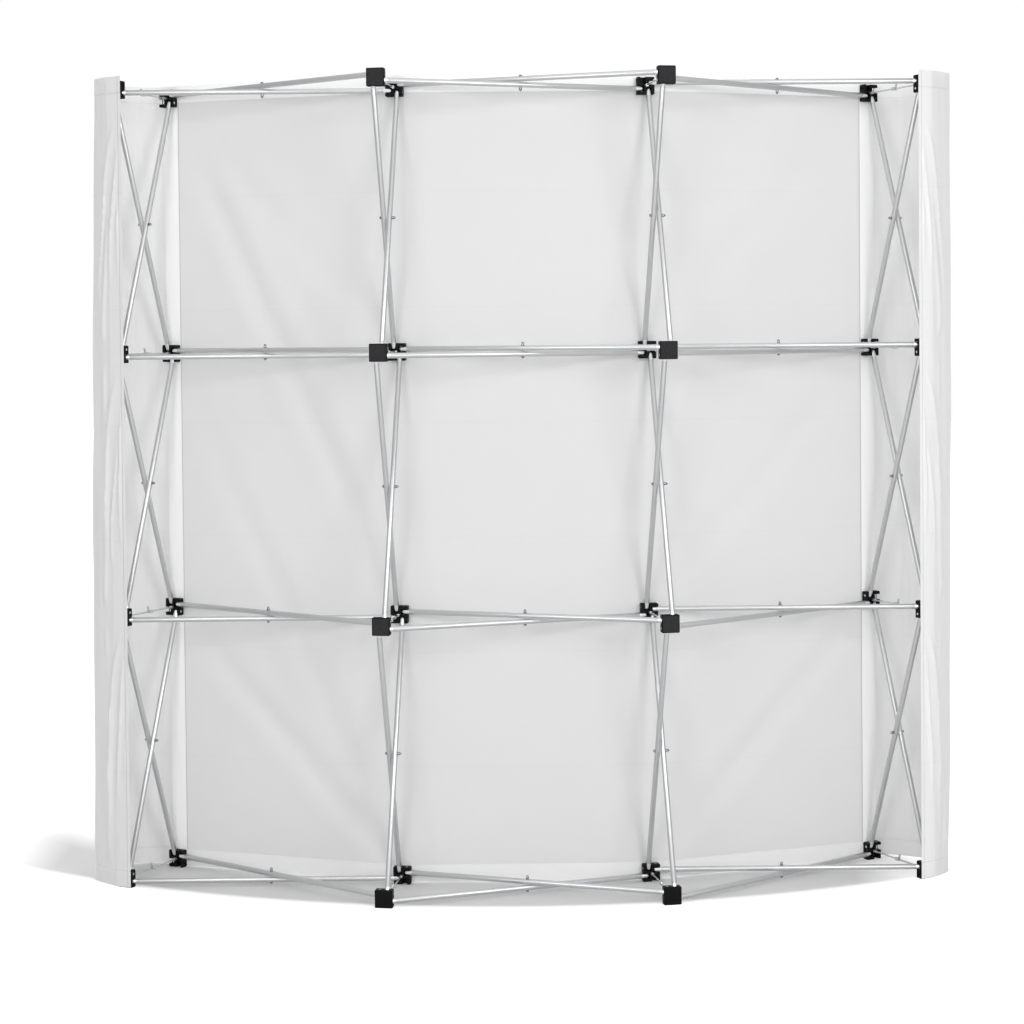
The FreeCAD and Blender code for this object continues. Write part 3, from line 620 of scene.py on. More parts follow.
def hook_pile(colours):
    """Charcoal hook pile: a bed of tiny stiff hooks, worn into lighter and darker patches."""
    finish = Finish("hook_pile")
    place = finish.place()
    hooks = finish.cells(place, 620.0)
    patches = finish.noise(place, 130.0, 4.0, 0.65)
    tone = patches * 0.75 + hooks * 0.4
    base = finish.tones(tone, colours.hook_tape, 0.1, 0.55)
    return finish.done(Base_Color=base, Roughness=0.82 + hooks * 0.12, Specular_IOR_Level=0.25,
                       Normal=finish.bump(hooks + patches, 0.0006, 0.8))


def loop_pile(colours, name, tone=1.0):
    """White loop tape: a soft brushed pile."""
    finish = Finish(name)
    place = finish.place()
    fuzz = finish.noise(place, 900.0, 4.0, 0.7)
    tufts = finish.noise(place, 240.0, 3.0)
    base = finish.tones(fuzz * 0.5 + tufts * 0.5, colours.loop_tape, 1.04 * tone, 1.1 * tone)
    return finish.done(Base_Color=base, Roughness=0.9 + fuzz * 0.08, Sheen_Weight=0.1,
                       Normal=finish.bump(fuzz + tufts * 0.6, 0.0006, 0.5))


KNIT_RIB = 0.0011
CREASES = 7
CREASE_WIDTH = 0.004
STITCH_PITCH = 0.004
CLOTH_LETS_THROUGH = 0.26
LINING_FADE = 0.024
# Painted shade over the outward-facing bend of a wrap, past its flap: its strength, its run and its fade.
PAINTED_BEND_SHADE = 0.17
BEND_RUN = 0.11
BEND_FADE = 0.06
SEAM_HALF_WIDTH = 0.001
HEM_SEAM_HALF_WIDTH = 0.0009


def knitted_cloth(colours, w, name, tone, seams, seam_shadow, lined_to=-1.0, lining_shade=0.0):
    """White warp knit, mapped in metres: ribs, packing creases, seams, a lined flap and its bend. Painted
    shade darkens the creases, the lined flap and the bend; the seam lines are darkened partly by their
    stitching and partly by a painted shadow of the edge beside them.
    """
    finish = Finish(name)
    weave = finish.weave()
    across = finish.node("ShaderNodeSeparateXYZ", None, {"Vector": weave}, "X")
    up = finish.node("ShaderNodeSeparateXYZ", None, {"Vector": weave}, "Y")
    ribs = across.maths("SINE", across * (math.tau / KNIT_RIB))
    rows = up.maths("SINE", up * (math.tau / KNIT_RIB))
    knit = ribs * 0.25 + rows * 0.25 + 0.5
    height = w.cloth_top - w.cloth_bottom
    off_crease = up.maths("PINGPONG", up - w.cloth_bottom, height / CREASES / 2)
    crease = up.maths("MAXIMUM", 1 - off_crease / CREASE_WIDTH, 0.0)
    mid = (w.cloth_top + w.cloth_bottom) / 2
    off_hem = up.maths("ABSOLUTE", up.maths("ABSOLUTE", up - mid) - (height / 2 - w.cloth.hem_width))
    seam = up.maths("LESS_THAN", off_hem, HEM_SEAM_HALF_WIDTH)
    thread = up.maths("GREATER_THAN", up.maths("SINE", across * (math.tau / STITCH_PITCH)), -0.4)
    stitches = seam * thread
    cloud = finish.noise(finish.place(), 3.0, 3.0, 0.55)
    # Masks of the lined flap, which also stops light passing through, and of the bend's painted shade.
    lined, bend = (
        up.maths("MAXIMUM", up.maths("MINIMUM", (end - across) / fade + 0.5, 1.0), 0.0)
        for end, fade in ((lined_to, LINING_FADE), (lined_to + BEND_RUN, BEND_FADE)))
    # Seam lines beside the tape's and the hem's edges: partly stitching, partly painted shadow of the edge.
    edge = sum(up.maths("LESS_THAN", up.maths("ABSOLUTE", across - line), SEAM_HALF_WIDTH)
               for line in seams)
    # Creases are darkened a little with painted shade; the stitches are thread marks.
    seams_and_shade = edge * seam_shadow + stitches * 0.3 + crease * 0.03
    # Random tone and knit, with painted shade from the lining, the bend, the creases and the seam edges.
    tone_and_shade = cloud * 0.05 + knit * 0.01 + lined * lining_shade + bend * PAINTED_BEND_SHADE + seams_and_shade
    base = finish.tones(tone_and_shade, colours.banner_cloth, tone, tone * 0.4)
    relief = knit * 0.25 + crease * 1.2 - stitches * 1.5
    finish.done(Base_Color=base, Roughness=0.78 + cloud * 0.1, Sheen_Weight=0.12,
                Normal=finish.bump(relief, 0.0003, 0.5))
    return finish.lit_through(shade(colours.banner_cloth, tone), (1 - lined) * CLOTH_LETS_THROUGH)


# Cloth

HEM_EDGE = 0.0008
PANEL_STEP = 0.014
TAPE_STEP = 0.012
WRAP_STEP = 0.004
WRAP_STEP_UP = 0.009
SEWN_GAP = 0.00005


def spaced(start, end, step, extra=()):
    """Even stations from start to end, with some more where a hem or a bend needs them."""
    even = np.linspace(start, end, int(round((end - start) / step)) + 1)
    kept = [value for value in even if all(abs(value - other) > step / 4 for other in extra)]
    return np.array(sorted([*kept, *extra]))


def stations_up(w, step):
    seams = [w.cloth_bottom + w.cloth.hem_width, w.cloth_top - w.cloth.hem_width]
    return spaced(w.cloth_bottom, w.cloth_top, step,
                  [seam + side * HEM_EDGE for seam in seams for side in (-1, 1)])


def cloth_grid(name, across, up, points, outwards):
    """A sheet shaped from a grid: points gives x, y, z for every pair of stations."""
    deselect()
    bpy.ops.mesh.primitive_grid_add(x_subdivisions=len(across) - 1, y_subdivisions=len(up) - 1, size=1.0,
                                    location=(0, 0, 0))
    piece = named(name)
    mesh = piece.data
    if len(mesh.vertices) != len(across) * len(up):
        raise RuntimeError(f"{name}: the grid has {len(mesh.vertices)} points")
    s, z = np.meshgrid(across, up)
    mesh.vertices.foreach_set("co", np.stack(points(s, z), axis=-1).astype(np.float32).ravel())
    corner = np.zeros(len(mesh.loops), np.int32)
    mesh.loops.foreach_get("vertex_index", corner)
    flat = np.stack([s.ravel()[corner], z.ravel()[corner]], axis=-1).astype(np.float32)
    mesh.uv_layers.active.data.foreach_set("uv", flat.ravel())
    mesh.update()
    if not outwards:
        bpy.ops.object.mode_set(mode="EDIT")
        bpy.ops.mesh.select_all(action="SELECT")
        bpy.ops.mesh.flip_normals()
        bpy.ops.object.mode_set(mode="OBJECT")
    return piece


def thicken(piece, thickness):
    modify(piece, "SOLIDIFY", thickness=thickness, offset=1)
    bpy.ops.object.shade_smooth_by_angle(angle=CLOTH_EDGE)


def plan_point(w, column, along, radius):
    """Place in plan: a distance along a column's hub faces, and a drum radius."""
    turn = (column - (COLUMNS - 1) / 2) * w.frame.bay_angle
    return (radius * math.sin(turn) + along * math.cos(turn),
            w.axis_y - radius * math.cos(turn) + along * math.sin(turn))


def hub_line(w, columns, radius):
    """Plan points along the front hub faces, two to a hub, and the run of cloth up to each."""
    spots = np.array([plan_point(w, column, side * w.half, radius)
                      for column in columns for side in (-1, 1)])
    run = np.concatenate([[0.0], np.cumsum(np.linalg.norm(np.diff(spots, axis=0), axis=1))])
    return spots, run


def hem_rise(w, z):
    """How much the hems stand out, at a height."""
    edge = np.minimum(z - w.cloth_bottom, w.cloth_top - z)
    return np.where(edge < w.cloth.hem_width, w.cloth.hem_step, 0.0)


# Folds of the front panel: the hubs they run between, as (column, level), and their share of the height
PANEL_FOLDS = (
    ((0, 3), (1, 1), 1.0), ((0, 2), (1, 0), 0.55), ((0, 1), (1, 0), 0.8), ((0, 3), (1, 2), 0.35),
    ((3, 1), (2, 0), 0.6), ((3, 2), (2, 1), 0.35), ((3, 3), (2, 2), 0.3), ((2, 1), (1, 0), 0.15),
)
FOLD_SPREAD = 0.075
PIN_SPREAD = 0.05
BOW_SPREAD = 0.14
RIPPLE = 0.0012
FLAT_END = 0.12
# Two crossing waves of the ripple: radians per metre across and up, and where each starts
RIPPLE_WAVES = ((7.1, 3.7, 0.0), (2.3, -5.9, 0.7))


def fold_between(s, z, start, end):
    """A ridge with a hollow on each side, along a line from start to end, dying out at both."""
    step = np.subtract(end, start)
    span = np.hypot(*step)
    along = ((s - start[0]) * step[0] + (z - start[1]) * step[1]) / span ** 2
    off = ((s - start[0]) * -step[1] + (z - start[1]) * step[0]) / span
    fade = np.sqrt(np.sin(np.pi * np.clip(along, 0, 1)))
    return fade * np.cos(np.pi * off / FOLD_SPREAD) * np.exp(-(off / FOLD_SPREAD) ** 2)


def panel_relief(w, s, z):
    """How far the panel stands off the hub faces, towards the show side."""
    cloth = w.cloth
    run = hub_line(w, range(COLUMNS), w.cloth_radius)[1]
    middles = (run[0::2] + run[1::2]) / 2
    heights = [level_height(w, level) for level in range(LEVELS)]
    tier = np.clip((z - heights[0]) / w.frame.tier_height, 0, LEVELS - 1)
    relief = np.zeros_like(s)
    for column in range(1, COLUMNS - 1):
        near = np.exp(-((s - middles[column]) / BOW_SPREAD) ** 2)
        relief += cloth.panel_bow * near * np.sin(np.pi * tier) ** 2
    for start, end, share in PANEL_FOLDS:
        ends = [(middles[column], heights[level]) for column, level in (start, end)]
        relief += cloth.panel_fold * share * fold_between(s, z, *ends)
    first, second = (np.sin(across * s + up * z + start) for across, up, start in RIPPLE_WAVES)
    relief += RIPPLE * first * second
    pinned = np.ones_like(s)
    for column, level in hub_places():
        off = np.hypot(s - middles[column], z - heights[level])
        pinned *= 1 - np.exp(-(off / PIN_SPREAD) ** 4)
    end_band = np.minimum(s - run[1], run[-2] - s)
    return relief * pinned * np.clip(end_band / FLAT_END, 0, 1)


def panel_points(w, radius, lift=0.0):
    """Places on the banner's front panel, by run of cloth and height."""
    spots, run = hub_line(w, range(COLUMNS), radius)

    def points(s, z):
        x = np.interp(s, run, spots[:, 0])
        y = np.interp(s, run, spots[:, 1])
        off = panel_relief(w, s, z) + lift
        to_axis = np.hypot(x, w.axis_y - y)
        return x - x / to_axis * off, y + (w.axis_y - y) / to_axis * off, z

    return points


def reach_at(w, reaches, z):
    """A wrap's reach at a height, on a smooth curve through its foot, middle and top."""
    share = (z - w.cloth_bottom) / (w.cloth_top - w.cloth_bottom)
    foot, middle, top = reaches
    return (foot * (1 - share) * (1 - 2 * share) + middle * 4 * share * (1 - share)
            + top * share * (2 * share - 1))


# Loose folds of a flap: where each starts across the cloth and up, its slope, half width, height and length
FLAP_FOLDS = (
    (0.046, 2.14, 0.11, 0.0055, 0.0067, 0.50), (0.030, 2.10, 0.035, 0.0045, 0.0054, 0.42),
    (0.016, 2.02, 0.01, 0.0040, 0.0042, 0.30), (0.052, 1.44, 0.06, 0.0060, 0.0064, 0.55),
    (0.026, 1.40, -0.02, 0.0045, 0.0051, 0.45), (0.040, 1.30, 0.03, 0.0042, 0.0045, 0.40),
    (0.050, 0.72, 0.05, 0.0060, 0.0067, 0.52), (0.030, 0.68, 0.02, 0.0048, 0.0054, 0.45),
    (0.014, 0.60, -0.01, 0.0040, 0.0042, 0.38), (0.068, 1.90, 0.02, 0.0070, 0.0058, 0.60),
    (0.074, 1.20, 0.01, 0.0070, 0.0058, 0.60), (0.070, 0.56, 0.01, 0.0070, 0.0058, 0.48),
)
FLAP_HEM = 0.010
FLAP_HEM_FADE = 0.006
FLAP_PIN_SPREAD = 0.045
FOLD_WAVER = 0.003
WAVER_UP = 17.0
WAVER_ACROSS = 90.0
FOLD_FULLNESS = 0.7
FOLD_SWEEP = 0.028
FOLD_SWEEP_LENGTH = 0.09


def flap_relief(w, s, z):
    """Loose folds that hang between the hubs, over the flap and the start of the bend."""
    relief = np.zeros_like(s)
    for start, top, slope, width, height, long in FLAP_FOLDS:
        fall = np.clip((top - z) / long, 0, 1)
        sweep = FOLD_SWEEP * np.exp(np.minimum(z - top, 0) / FOLD_SWEEP_LENGTH)
        line = start + slope * (top - z) - sweep
        line = line + FOLD_WAVER * np.sin(WAVER_UP * z + WAVER_ACROSS * start)
        relief += height * np.sin(np.pi * fall) ** FOLD_FULLNESS * np.exp(-((s - line) / width) ** 2)
    for level in range(LEVELS):
        relief *= 1 - np.exp(-((z - level_height(w, level)) / FLAP_PIN_SPREAD) ** 4)
    return relief * np.clip((s - FLAP_HEM) / FLAP_HEM_FADE, 0, 1)


WIDE_PLEAT = 0.052
NARROW_PLEAT = 0.034
NARROW_SHARE = 0.55
NARROW_START = 1.3
PLEAT_FADE = 0.12
PLEAT_SLANT = 0.9
COUNTER_SLANT = -0.7
PLEAT_WANDER = 0.05
WANDER_UP = 3.1
WIDE_SWING = 0.4


def pleats(s, pitch, slant, start=0.0):
    """Even pleats across the cloth, slanted by a share of their pitch."""
    return np.sin(2 * np.pi * (s / pitch + slant) + start)


def wrap_points(w, side, reaches):
    """Places on an end wrap: its flap over the rear hubs, then round to the front panel."""
    cloth = w.cloth
    column = END_COLUMNS[side > 0]
    flap = w.frame.hub_size
    middle = (w.flap_radius + w.cloth_radius) / 2
    depth = (w.flap_radius - w.cloth_radius) / 2
    arc = math.pi * (depth + sum(reaches) / 3) / 2

    def points(s, z):
        share = np.clip((s - flap) / arc, 0, 1)
        turn = np.pi / 2 - np.pi * share
        wave = -np.sin(np.pi * cloth.wrap_folds * share)
        swell = np.where(wave > 0, cloth.fold_swell, cloth.fold_dip) * wave
        edge = np.minimum(z - w.cloth_bottom, w.cloth_top - z)
        ease = np.clip(edge / PLEAT_FADE, 0, 1) ** 0.5 * np.sin(np.pi * share)
        slant = side * PLEAT_SLANT * z + PLEAT_WANDER * np.sin(WANDER_UP * z + side)
        strength = 1 - WIDE_SWING + WIDE_SWING * np.sin(5.3 * z + 9.0 * s)
        wide = pleats(s, WIDE_PLEAT, slant) * strength
        narrow = pleats(s, NARROW_PLEAT, COUNTER_SLANT * slant, NARROW_START) * np.sin(4.1 * z + 1.0)
        loose = flap_relief(w, s, z) + hem_rise(w, z) + np.where(s < FLAP_HEM, cloth.hem_step, 0.0)
        swell = swell + cloth.pleat_height * (wide + NARROW_SHARE * narrow) * ease + loose
        reach = reach_at(w, reaches, z)
        along = np.where(s < flap, s - w.half, w.half + (reach + swell) * np.cos(turn))
        radius = np.where(s < flap, w.flap_radius + loose, middle + (depth + swell) * np.sin(turn))
        return (*plan_point(w, column, side * along, radius), z)

    return points, flap + arc


# Operators

TUBE_SIDES = 32
ROUND_SIDES = 20
SMALL_SIDES = 14
LOCK_PIN_SIDES = 12
TUBE_EDGE = 0.00025
WASHER_EDGE = 0.0002


class WALL_OT_hubs(bpy.types.Operator):
    """Finish the moulded hubs"""

    bl_idname = "wall.hubs"
    bl_label = "Hubs"

    def execute(self, context):
        finish = moulded_plastic(context.scene.wall_colours)
        coat(finish, *[f"{layer}_hubs_column_{column + 1}" for layer in ("rear", "front")
                       for column in range(COLUMNS)])
        return {"FINISHED"}


class WALL_OT_tubes(bpy.types.Operator):
    """Draw the level and upright tubes"""

    bl_idname = "wall.tubes"
    bl_label = "Tubes"

    def tube(self, w, name, span):
        f = w.frame
        piece = ring(name, f.tube_diameter, f.tube_wall, span - 2 * f.tongue_length, TUBE_SIDES, TUBE_EDGE)
        piece.data.transform(shift(x=span / 2, axis="Y", turn=math.pi / 2))
        return piece

    def execute(self, context):
        w = wall()
        finish = drawn_tube(context.scene.wall_colours)
        level_tube = self.tube(w, "level_tube", w.level_span)
        upright_tube = self.tube(w, "upright_tube", w.upright_span)
        for level in range(LEVELS):
            node = f"level_tubes_{level + 1}"
            piece = place_copies(f"drawn_{node}", level_tube, level_tubes(w, level))
            fit(piece, "tube_aluminium", finish, node)
        for column in range(COLUMNS):
            node = f"upright_tubes_column_{column + 1}"
            piece = place_copies(f"drawn_{node}", upright_tube, upright_tubes(w, column))
            fit(piece, "tube_aluminium", finish, node)
        discard(level_tube, upright_tube)
        return {"FINISHED"}


NOSE_TURNS = (12, 30, 48, 66, 84)
SHANK_CHAMFER = 0.001


class WALL_OT_plugs(bpy.types.Operator):
    """Make the tube end plugs"""

    bl_idname = "wall.plugs"
    bl_label = "Tube end plugs"

    def plug(self, w):
        """A round nose about the pin at the origin, with its shank along X."""
        f = w.frame
        nose = f.tongue_width / 2
        shank = f.tube_diameter / 2 - f.tube_wall - PLAY
        end = f.tongue_length + f.plug_depth
        cheek = f.tongue_thickness / 2
        dome = [(nose * math.sin(turn), -nose * math.cos(turn)) for turn in map(math.radians, NOSE_TURNS)]
        body = [(cheek, nose * 0.3), (cheek, f.tongue_length), (shank, f.tongue_length),
                (shank, end - SHANK_CHAMFER), (shank - SHANK_CHAMFER, end)]
        piece = turned("plug", dome + body, ROUND_SIDES)
        piece.data.transform(shift(axis="Y", turn=math.pi / 2))
        return piece

    def execute(self, context):
        w = wall()
        finish = cast_plug(context.scene.wall_colours)
        plug = self.plug(w)
        level = [tube for level in range(LEVELS) for tube in level_tubes(w, level)]
        upright = [tube for column in range(COLUMNS) for tube in upright_tubes(w, column)]
        for name, frames, span in (("level", level, w.level_span), ("upright", upright, w.upright_span)):
            far_end = shift(x=span, turn=math.pi)
            places = [place for tube in frames for place in (tube, tube @ far_end)]
            piece = place_copies(f"tumbled_{name}_tube_plugs", plug, places)
            fit(piece, "plug_aluminium", finish, f"{name}_tube_plugs")
        discard(plug)
        return {"FINISHED"}


class WALL_OT_pins(bpy.types.Operator):
    """Turn the hub pins"""

    bl_idname = "wall.pins"
    bl_label = "Hub pins"

    def execute(self, context):
        w = wall()
        f = w.frame
        finish = bright_steel(context.scene.wall_colours, "bright_steel")
        head = f.pin_head / 2
        shank = f.pin_diameter / 2
        pin = turned("hub_pin", [
            (head * 0.55, 0.0), (head * 0.9, f.pin_head_height * 0.25), (head, f.pin_head_height * 0.55),
            (head, f.pin_head_height), (shank, f.pin_head_height), (shank, f.pin_length)], SMALL_SIDES)
        kinds = {"level": ("right", "left"), "upright": ("up", "down")}
        for name, ways in kinds.items():
            places = [pin_frame(w, column, level, layer, way) for layer in ("rear", "front")
                      for column, level in hub_places() for way in used_ways(column, level) if way in ways]
            piece = place_copies(f"bright_{name}_hub_pins", pin, places)
            fit(piece, "pin_steel", finish, f"{name}_hub_pins")
        discard(pin)
        return {"FINISHED"}


RIVET_TONE = 0.4


class WALL_OT_rivets(bpy.types.Operator):
    """Turn the crossing rivets and their washers"""

    bl_idname = "wall.rivets"
    bl_label = "Crossing rivets"

    def execute(self, context):
        w = wall()
        t = w.fittings
        colours = context.scene.wall_colours
        shank, head, tip = t.rivet_diameter / 2, t.rivet_head / 2, t.rivet_cap_tip / 2
        grip = w.rivet_grip
        low, cap = t.rivet_head_height, t.rivet_cap_height
        rivet = turned("rivet", [
            (shank, -grip - low), (head * 0.8, -grip - low * 0.85), (head, -grip - low / 2), (head, -grip),
            (shank, -grip), (shank, grip), (head, grip), (head, grip + cap * 0.4),
            (head * 0.9, grip + cap * 0.62), (head * 0.68, grip + cap * 0.84), (tip, grip + cap),
        ], ROUND_SIDES)
        level = [level_crossing(w, bay, level) for bay in range(COLUMNS - 1) for level in range(LEVELS)]
        upright = [upright_crossing(w, column, tier) for column in range(COLUMNS)
                   for tier in range(LEVELS - 1)]
        steel = bright_steel(colours, "dulled_steel", RIVET_TONE)
        for name, places in (("level", level), ("upright", upright)):
            piece = place_copies(f"domed_{name}_crossing_rivets", rivet, places)
            fit(piece, "pin_steel", steel, f"{name}_crossing_rivets")
        washer_wall = (t.washer_diameter - t.rivet_diameter) / 2
        washer = ring("washer", t.washer_diameter, washer_wall, w.washer_height, ROUND_SIDES, WASHER_EDGE)
        piece = place_copies("nylon_crossing_washers", washer, level + upright)
        fit(piece, "washer_plastic", natural_nylon(colours), "crossing_washers")
        discard(rivet, washer)
        return {"FINISHED"}


FORK_EDGE = 0.0006
LOCK_PIN_CHAMFER = 0.0003


class WALL_OT_locks(bpy.types.Operator):
    """Make the forks, rods and pins of the lock struts, and finish their hook arms"""

    bl_idname = "wall.locks"
    bl_label = "Lock struts"

    def fork(self, w, name):
        """A root block at the origin with two cheeks along Y."""
        t = w.fittings
        deselect()
        bpy.ops.mesh.primitive_cube_add(size=1.0, location=(0, t.fork_root / 2, 0))
        bpy.context.object.scale = (w.fork_width, t.fork_root, t.fork_height)
        piece = named(name)
        half_gap = t.fork_gap / 2
        for side in (-half_gap, half_gap):
            bpy.ops.object.mode_set(mode="EDIT")
            bpy.ops.mesh.select_all(action="SELECT")
            bpy.ops.mesh.bisect(plane_co=(side, 0, 0), plane_no=(1, 0, 0))
            bpy.ops.object.mode_set(mode="OBJECT")
        select_faces(piece, lambda centre, normal: normal.y > 0.99 and abs(centre.x) > half_gap)
        cheek = t.fork_reach - t.fork_root
        bpy.ops.mesh.extrude_region_move(TRANSFORM_OT_translate={"value": (0, cheek, 0)})
        bpy.ops.object.mode_set(mode="OBJECT")
        soften(piece, FORK_EDGE)
        return piece

    def execute(self, context):
        w = wall()
        f, t = w.frame, w.fittings
        finish = plated_lock(context.scene.wall_colours)
        to_front = shift(axis="X", turn=-math.pi / 2)
        stem = t.stem_diameter / 2
        places = [lock_frame(w, column, level) for column, level in hub_places()]

        fork = self.fork(w, "bracket_fork")
        fork.data.transform(shift(y=f.hub_depth))
        peg = turned("bracket_stem", [(stem, 0.0), (stem, t.stem_length)], SMALL_SIDES)
        peg.data.transform(shift(y=f.hub_depth - t.stem_length) @ to_front)
        bracket = join_pieces("bracket", [fork, peg])
        piece = place_copies("plated_hook_brackets", bracket, places)
        fit(piece, "lock_steel", finish, "hook_brackets")

        fork = self.fork(w, "latch_fork")
        fork.data.transform(shift(y=w.latch_fork_end, turn=math.pi))
        bar = t.latch_rod / 2
        reach = f.wall_depth - f.hub_depth - w.latch_fork_end
        collar = t.latch_collar / 2
        rod = turned("latch_bar", [
            (bar, 0.0), (bar, reach - t.collar_length), (collar * 0.8, reach - t.collar_length),
            (collar, reach - t.collar_length * 0.6), (collar, reach), (stem, reach),
            (stem, reach + t.stem_length)], SMALL_SIDES)
        rod.data.transform(shift(y=w.latch_fork_end) @ to_front)
        latch = join_pieces("latch", [fork, rod])
        piece = place_copies("plated_latch_rods", latch, places)
        fit(piece, "lock_steel", finish, "latch_rods")

        half = w.fork_width / 2
        head, shank = t.lock_pin_head / 2, t.lock_pin / 2
        cap = half + t.lock_pin_head_height
        pin = turned("lock_pin", [
            (head * 0.7, -cap), (head, -cap + LOCK_PIN_CHAMFER), (head, -half), (shank, -half),
            (shank, half), (head, half), (head, cap - LOCK_PIN_CHAMFER), (head * 0.7, cap),
        ], LOCK_PIN_SIDES)
        pin.data.transform(shift(axis="Y", turn=math.pi / 2))
        for name, y in (("hook_pivot_pins", w.lock_pivot), ("latch_pins", w.lock_latch)):
            spots = [lock_frame(w, column, level, y) for column, level in hub_places()]
            piece = place_copies(f"plated_{name}", pin, spots)
            fit(piece, "lock_steel", finish, name)
        discard(bracket, latch, pin)
        coat(finish, *[name for name in frame["nodes"] if name.startswith("hook_arm_")])
        return {"FINISHED"}


PAD_CORNER = 0.0025
PAD_BINDING = 0.0016
PAD_SLOPE = 0.0006
PAD_GROOVE = 0.00035


class WALL_OT_pads(bpy.types.Operator):
    """Cut the hook tape squares"""

    bl_idname = "wall.pads"
    bl_label = "Hook tape squares"

    def pad(self, w):
        """A square with rounded corners and a bound edge a little lower than its pile."""
        c = w.cloth
        deselect()
        bpy.ops.mesh.primitive_cube_add(size=1.0, location=(0, 0, c.pad_thickness / 2))
        bpy.context.object.scale = (c.pad_size, c.pad_size, c.pad_thickness)
        piece = named("hook_pad")
        bpy.ops.object.mode_set(mode="EDIT")
        bpy.ops.mesh.select_mode(type="EDGE")
        bpy.ops.mesh.select_all(action="DESELECT")
        bpy.ops.object.mode_set(mode="OBJECT")
        for edge in piece.data.edges:
            low, high = (piece.data.vertices[index].co for index in edge.vertices)
            edge.select = abs(low.z - high.z) > c.pad_thickness / 2
        bpy.ops.object.mode_set(mode="EDIT")
        bpy.ops.mesh.bevel(offset=PAD_CORNER, segments=4)
        select_faces(piece, lambda centre, normal: normal.z > 0.99)
        for border, rise in ((PAD_BINDING, -PAD_GROOVE), (PAD_SLOPE, PAD_GROOVE)):
            bpy.ops.mesh.inset(thickness=border)
            bpy.ops.transform.translate(value=(0, 0, rise))
        bpy.ops.object.mode_set(mode="OBJECT")
        bpy.ops.object.shade_smooth_by_angle(angle=PAD_EDGE)
        return piece

    def execute(self, context):
        w = wall()
        finish = hook_pile(context.scene.wall_colours)
        pad = self.pad(w)
        rear = [hub_frame(w, column, level, "rear") for column, level in hub_places()
                if level > 0 or column in END_COLUMNS]
        front = [hub_frame(w, column, level, "front") for column, level in hub_places()]
        for layer, places in (("rear", rear), ("front", front)):
            piece = place_copies(f"pile_{layer}_hook_pads", pad, places)
            fit(piece, "hook_tape", finish, f"{layer}_hook_pads")
        discard(pad)
        return {"FINISHED"}


# Painted shade: the bottom strip of loop tape is made darker than the others.
BOTTOM_SHADE_TONE = 0.87
PANEL_TONE = 0.98
# The wraps' cloth is painted lighter than the same cloth in the panel: painted light.
WRAP_PAINTED_LIGHT = 1.14
# How dark the seam lines are: partly stitching, partly painted shadow.
PANEL_SEAM_SHADOW = 0.7
WRAP_SEAM_SHADOW = 0.3
# Painted shade on the lined flaps, deeper on the left wrap than on the right.
PAINTED_LINING_SHADE = {"left": 0.22, "right": 0.07}
FLAP_HEM_EDGE = 0.0005


class WALL_OT_banner(bpy.types.Operator):
    """Sew the banner: its loop tape, front panel and end wraps"""

    bl_idname = "wall.banner"
    bl_label = "Banner"

    def tape(self, w, side, across, up):
        """A strip of loop tape on the panel's inner side."""
        shape = panel_points(w, w.cloth_radius, SEWN_GAP - w.cloth.tape_thickness)
        piece = cloth_grid(f"sewn_{side}_loop_tape", across, up, shape, outwards=False)
        thicken(piece, w.cloth.tape_thickness - 2 * SEWN_GAP)
        return piece

    def tapes(self, w, colours):
        low = w.cloth_bottom + w.cloth.tape_width
        high = w.cloth_top - w.cloth.tape_width
        run = hub_line(w, range(COLUMNS), w.cloth_radius)[1]
        whole = spaced(0.0, run[-1], PANEL_STEP, run[1:-1])
        shapes = {
            "bottom": (whole, spaced(w.cloth_bottom, low, TAPE_STEP)),
            "top": (whole, spaced(high, w.cloth_top, TAPE_STEP)),
            "left": (spaced(run[0], run[1], TAPE_STEP), spaced(low, high, PANEL_STEP)),
            "right": (spaced(run[-2], run[-1], TAPE_STEP), spaced(low, high, PANEL_STEP)),
        }
        clean = loop_pile(colours, "loop_pile")
        # The bottom strip gets a darker copy of the pile: painted shade.
        shaded_bottom = loop_pile(colours, "shaded_bottom_pile", BOTTOM_SHADE_TONE)
        made = []
        for side, (across, up) in shapes.items():
            piece = self.tape(w, side, across, up)
            fit(piece, "loop_tape", shaded_bottom if side == "bottom" else clean, f"{side}_loop_tape")
            made.append(piece)
        return made

    def execute(self, context):
        w = wall()
        colours = context.scene.wall_colours
        run = hub_line(w, range(COLUMNS), w.cloth_radius)[1]
        seams = (run[1] + SEAM_HALF_WIDTH, run[-2] - SEAM_HALF_WIDTH)
        cloth = knitted_cloth(colours, w, "knitted_cloth", PANEL_TONE, seams, PANEL_SEAM_SHADOW)
        tapes = self.tapes(w, colours)

        across = spaced(0.0, run[-1], PANEL_STEP, run[1:-1])
        up = stations_up(w, PANEL_STEP)
        shape = panel_points(w, w.cloth_radius, SEWN_GAP)
        panel = cloth_grid("stretched_front_panel", across, up, shape, outwards=False)
        thicken(panel, w.cloth.cloth_thickness)
        fit(panel, "banner_cloth", cloth, "front_panel")

        for name, side, reaches in (("left", -1, w.cloth.left_reach), ("right", 1, w.cloth.right_reach)):
            lined = knitted_cloth(colours, w, f"{name}_lined_cloth", WRAP_PAINTED_LIGHT, (FLAP_HEM,), WRAP_SEAM_SHADOW,
                                  w.frame.hub_size, PAINTED_LINING_SHADE[name])
            shape, reach = wrap_points(w, side, tuple(reaches))
            bends = [FLAP_HEM - FLAP_HEM_EDGE, FLAP_HEM + FLAP_HEM_EDGE, w.frame.hub_size]
            across = spaced(0.0, reach, WRAP_STEP, bends)
            up = stations_up(w, WRAP_STEP_UP)
            wrap = cloth_grid(f"folded_{name}_end_wrap", across, up, shape, outwards=side > 0)
            thicken(wrap, w.cloth.cloth_thickness)
            fit(wrap, "banner_cloth", lined, f"{name}_end_wrap")
        return {"FINISHED"}


